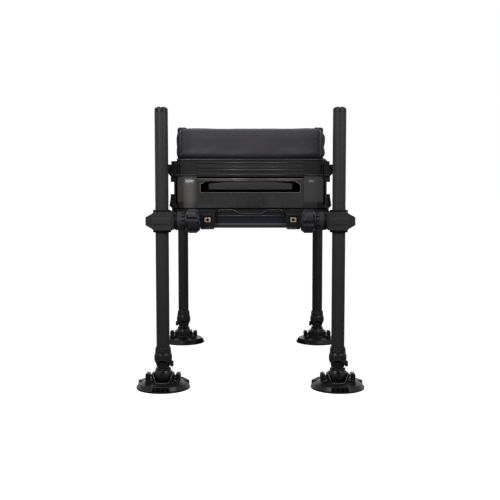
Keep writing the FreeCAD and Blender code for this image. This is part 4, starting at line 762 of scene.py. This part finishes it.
def make_grip_shade_and_rim(finishes):
    """Near-black sheet of painted shade inside the grip pocket, and the chamfered rim round its mouth, whose
    tan colour is a painted highlight.
    """
    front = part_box("drawer_front")[0][1]
    form = bmesh.new()
    mouth = form.faces.new([form.verts.new(place) for place in grip_outline(0.3 * MM, front + 1.2 * MM)])
    deep = bmesh.ops.extrude_face_region(form, geom=[mouth])
    moved = [item for item in deep["geom"] if isinstance(item, bmesh.types.BMVert)]
    bmesh.ops.translate(form, vec=(0, GRIP_DEPTH - 1.5 * MM, 0), verts=moved)
    bmesh.ops.delete(form, geom=[face for face in form.faces if all(
        corner.co.y < front + 1.3 * MM for corner in face.verts)], context="FACES")
    bmesh.ops.recalc_face_normals(form, faces=form.faces)
    bmesh.ops.reverse_faces(form, faces=form.faces)
    bmesh.ops.solidify(form, geom=form.faces[:], thickness=0.25 * MM)
    shade_sheet = settled("grip_pocket_shade_sheet", form)
    # The sheet's near-black colour is painted shade in the pocket
    fitted(shade_sheet, finishes["painted_shade_black"], "drawer", smooth=False)
    rim = loop_tube("grip_pocket_rim", grip_outline(0, front - 0.1 * MM), GRIP_RIM_R)
    fitted(rim, finishes["painted_glint_lip"], "drawer")


def make_deck_lines(finishes):
    """Raised line of the deck's front and rear and the bright seam over the cross beams, both lighter as
    painted highlights.
    """
    low, high = (Vector(corner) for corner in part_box("deck"))
    form = bmesh.new()
    for side in (-1, 1):
        face = side * (high.y - 0.15 * MM)
        places = [Vector((x * MM, face, high.z - drop * MM)) for x, drop in DECK_LINE]
        for start, end in zip(places, places[1:]):
            rod_between(form, start, end, 0.5 * MM)
        seam, front = low.z + 0.7 * MM, side * (high.y - 0.45 * MM)
        rod_between(form, (-DECK_SEAM_HALF, front, seam), (DECK_SEAM_HALF, front, seam), 0.6 * MM)
    fitted(settled("deck_raised_line", form), finishes["painted_highlight_edge"], "frame")


def make_casting_lip(finishes):
    """Thin lip along the foot of the tray's corner castings, lighter as a painted highlight."""
    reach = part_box("tray_corners")[1][1]
    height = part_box("tray_rails")[0][2] + CASTING_LIP_RISE
    outer = CASTING_HALF - 0.1 * MM
    form = bmesh.new()
    for end in (-1, 1):
        for side in (-1, 1):
            corner = (side * outer, end * (reach - 0.1 * MM), height)
            rod_between(form, (side * (outer - CASTING_ARM), corner[1], height), corner, 0.5 * MM)
            rod_between(form, (corner[0], end * (reach - CASTING_ARM), height), corner, 0.5 * MM)
    fitted(settled("tray_casting_lip", form), finishes["painted_highlight_edge"], "frame")


def make_drawer_lip(finishes):
    """Rounded lip along the drawer front's top edge, where its gloss catches the light; its tan colour is a
    painted reflection.
    """
    low, high = (Vector(corner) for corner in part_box("drawer_front"))
    form = bmesh.new()
    rod_between(form, (low.x + 1 * MM, low.y + 0.7 * MM, high.z - 1.1 * MM),
                (high.x - 1 * MM, low.y + 0.7 * MM, high.z - 1.1 * MM), DRAWER_LIP_R, DRAWER_LIP_SIDES)
    fitted(settled("drawer_front_lip", form), finishes["painted_glint_lip"], "drawer")


def make_seal_and_shade_rings(finishes):
    """Near-black rings: a seal under the drawer box, whose colour also paints the shade of the gap there, and
    a ring of painted shade round the waist of each clamp boss.
    """
    deck_top = Vector(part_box("deck")[1])
    half_x, half_y = deck_top.x - BOX_SEAL_INSET[0], deck_top.y - BOX_SEAL_INSET[1]
    path = [Vector((x, y, deck_top.z + BOX_SEAL_RISE)) for x, y in (
        (-half_x, -half_y), (half_x, -half_y), (half_x, half_y), (-half_x, half_y))]
    # The seal's near-black finish is partly painted shade in the gap under the drawer box
    fitted(loop_tube("drawer_box_seal", path, BOX_SEAL_R), finishes["painted_shade_black"], "frame")
    for corner in CORNERS:
        low, high = (Vector(place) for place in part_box(f"leg_tube_{corner}"))
        nut_low, nut_high = (Vector(place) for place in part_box(f"hand_nut_{corner}"))
        inward = -1 if "right" in corner else 1
        centre = (low + high) / 2 + Vector((inward * WAIST_OFFSET, 0, 0))
        centre.z = (nut_low.z + nut_high.z) / 2
        turns = [step * math.tau / WAIST_STEPS for step in range(WAIST_STEPS)]
        ring = [centre + Vector((0, math.cos(turn), math.sin(turn))) * WAIST_R for turn in turns]
        # A black ring painting the shade in the boss's waist
        fitted(loop_tube(f"boss_shade_ring_{corner}", ring, WAIST_SHADE_THICKNESS), finishes["nylon"], "frame")


def make_bracket_lips(finishes):
    """Lighter lower lip of each accessory bracket."""
    low, high = (Vector(corner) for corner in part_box("accessory_brackets"))
    form = bmesh.new()
    for end in (-1, 1):
        for side in (-1, 1):
            inner, outer = (Vector((side * x, end * (high.y - 0.9 * MM), low.z + 2 * MM)) for x in LIP_SPAN)
            rod_between(form, inner, outer, LIP_R)
    fitted(settled("bracket_lip_edges", form), finishes["lighter_lip"], "frame")


def make_window_beads(finishes):
    """Bead along the cut edge of the window in each foot's ball cup, lighter as a painted highlight."""
    for corner in CORNERS:
        low, high = (Vector(place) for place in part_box(f"ball_stem_{corner}"))
        axis = (low + high) / 2
        facing = -1 if corner.startswith("front") else 1
        path = []
        for x, rise in WINDOW_EDGE:
            side = x * MM + math.copysign(0.4 * MM, x)
            reach = math.sqrt(CUP_R ** 2 - side ** 2)
            path.append(Vector((axis.x + side, axis.y + facing * reach, WINDOW_SILL + rise * MM)))
        bead = tube_along(f"cup_window_bead_{corner}", path, WINDOW_BEAD_R)
        fitted(bead, finishes["painted_highlight_edge"], f"foot_{corner}")


studio()
finishes = make_finishes()
dress_nodes(finishes)
make_cushion(finishes)
make_rail_beads(finishes)
make_board_edging(finishes)
make_grip_shade_and_rim(finishes)
make_drawer_lip(finishes)
make_window_beads(finishes)
make_seal_and_shade_rings(finishes)
make_bracket_lips(finishes)
make_deck_lines(finishes)
make_casting_lip(finishes)
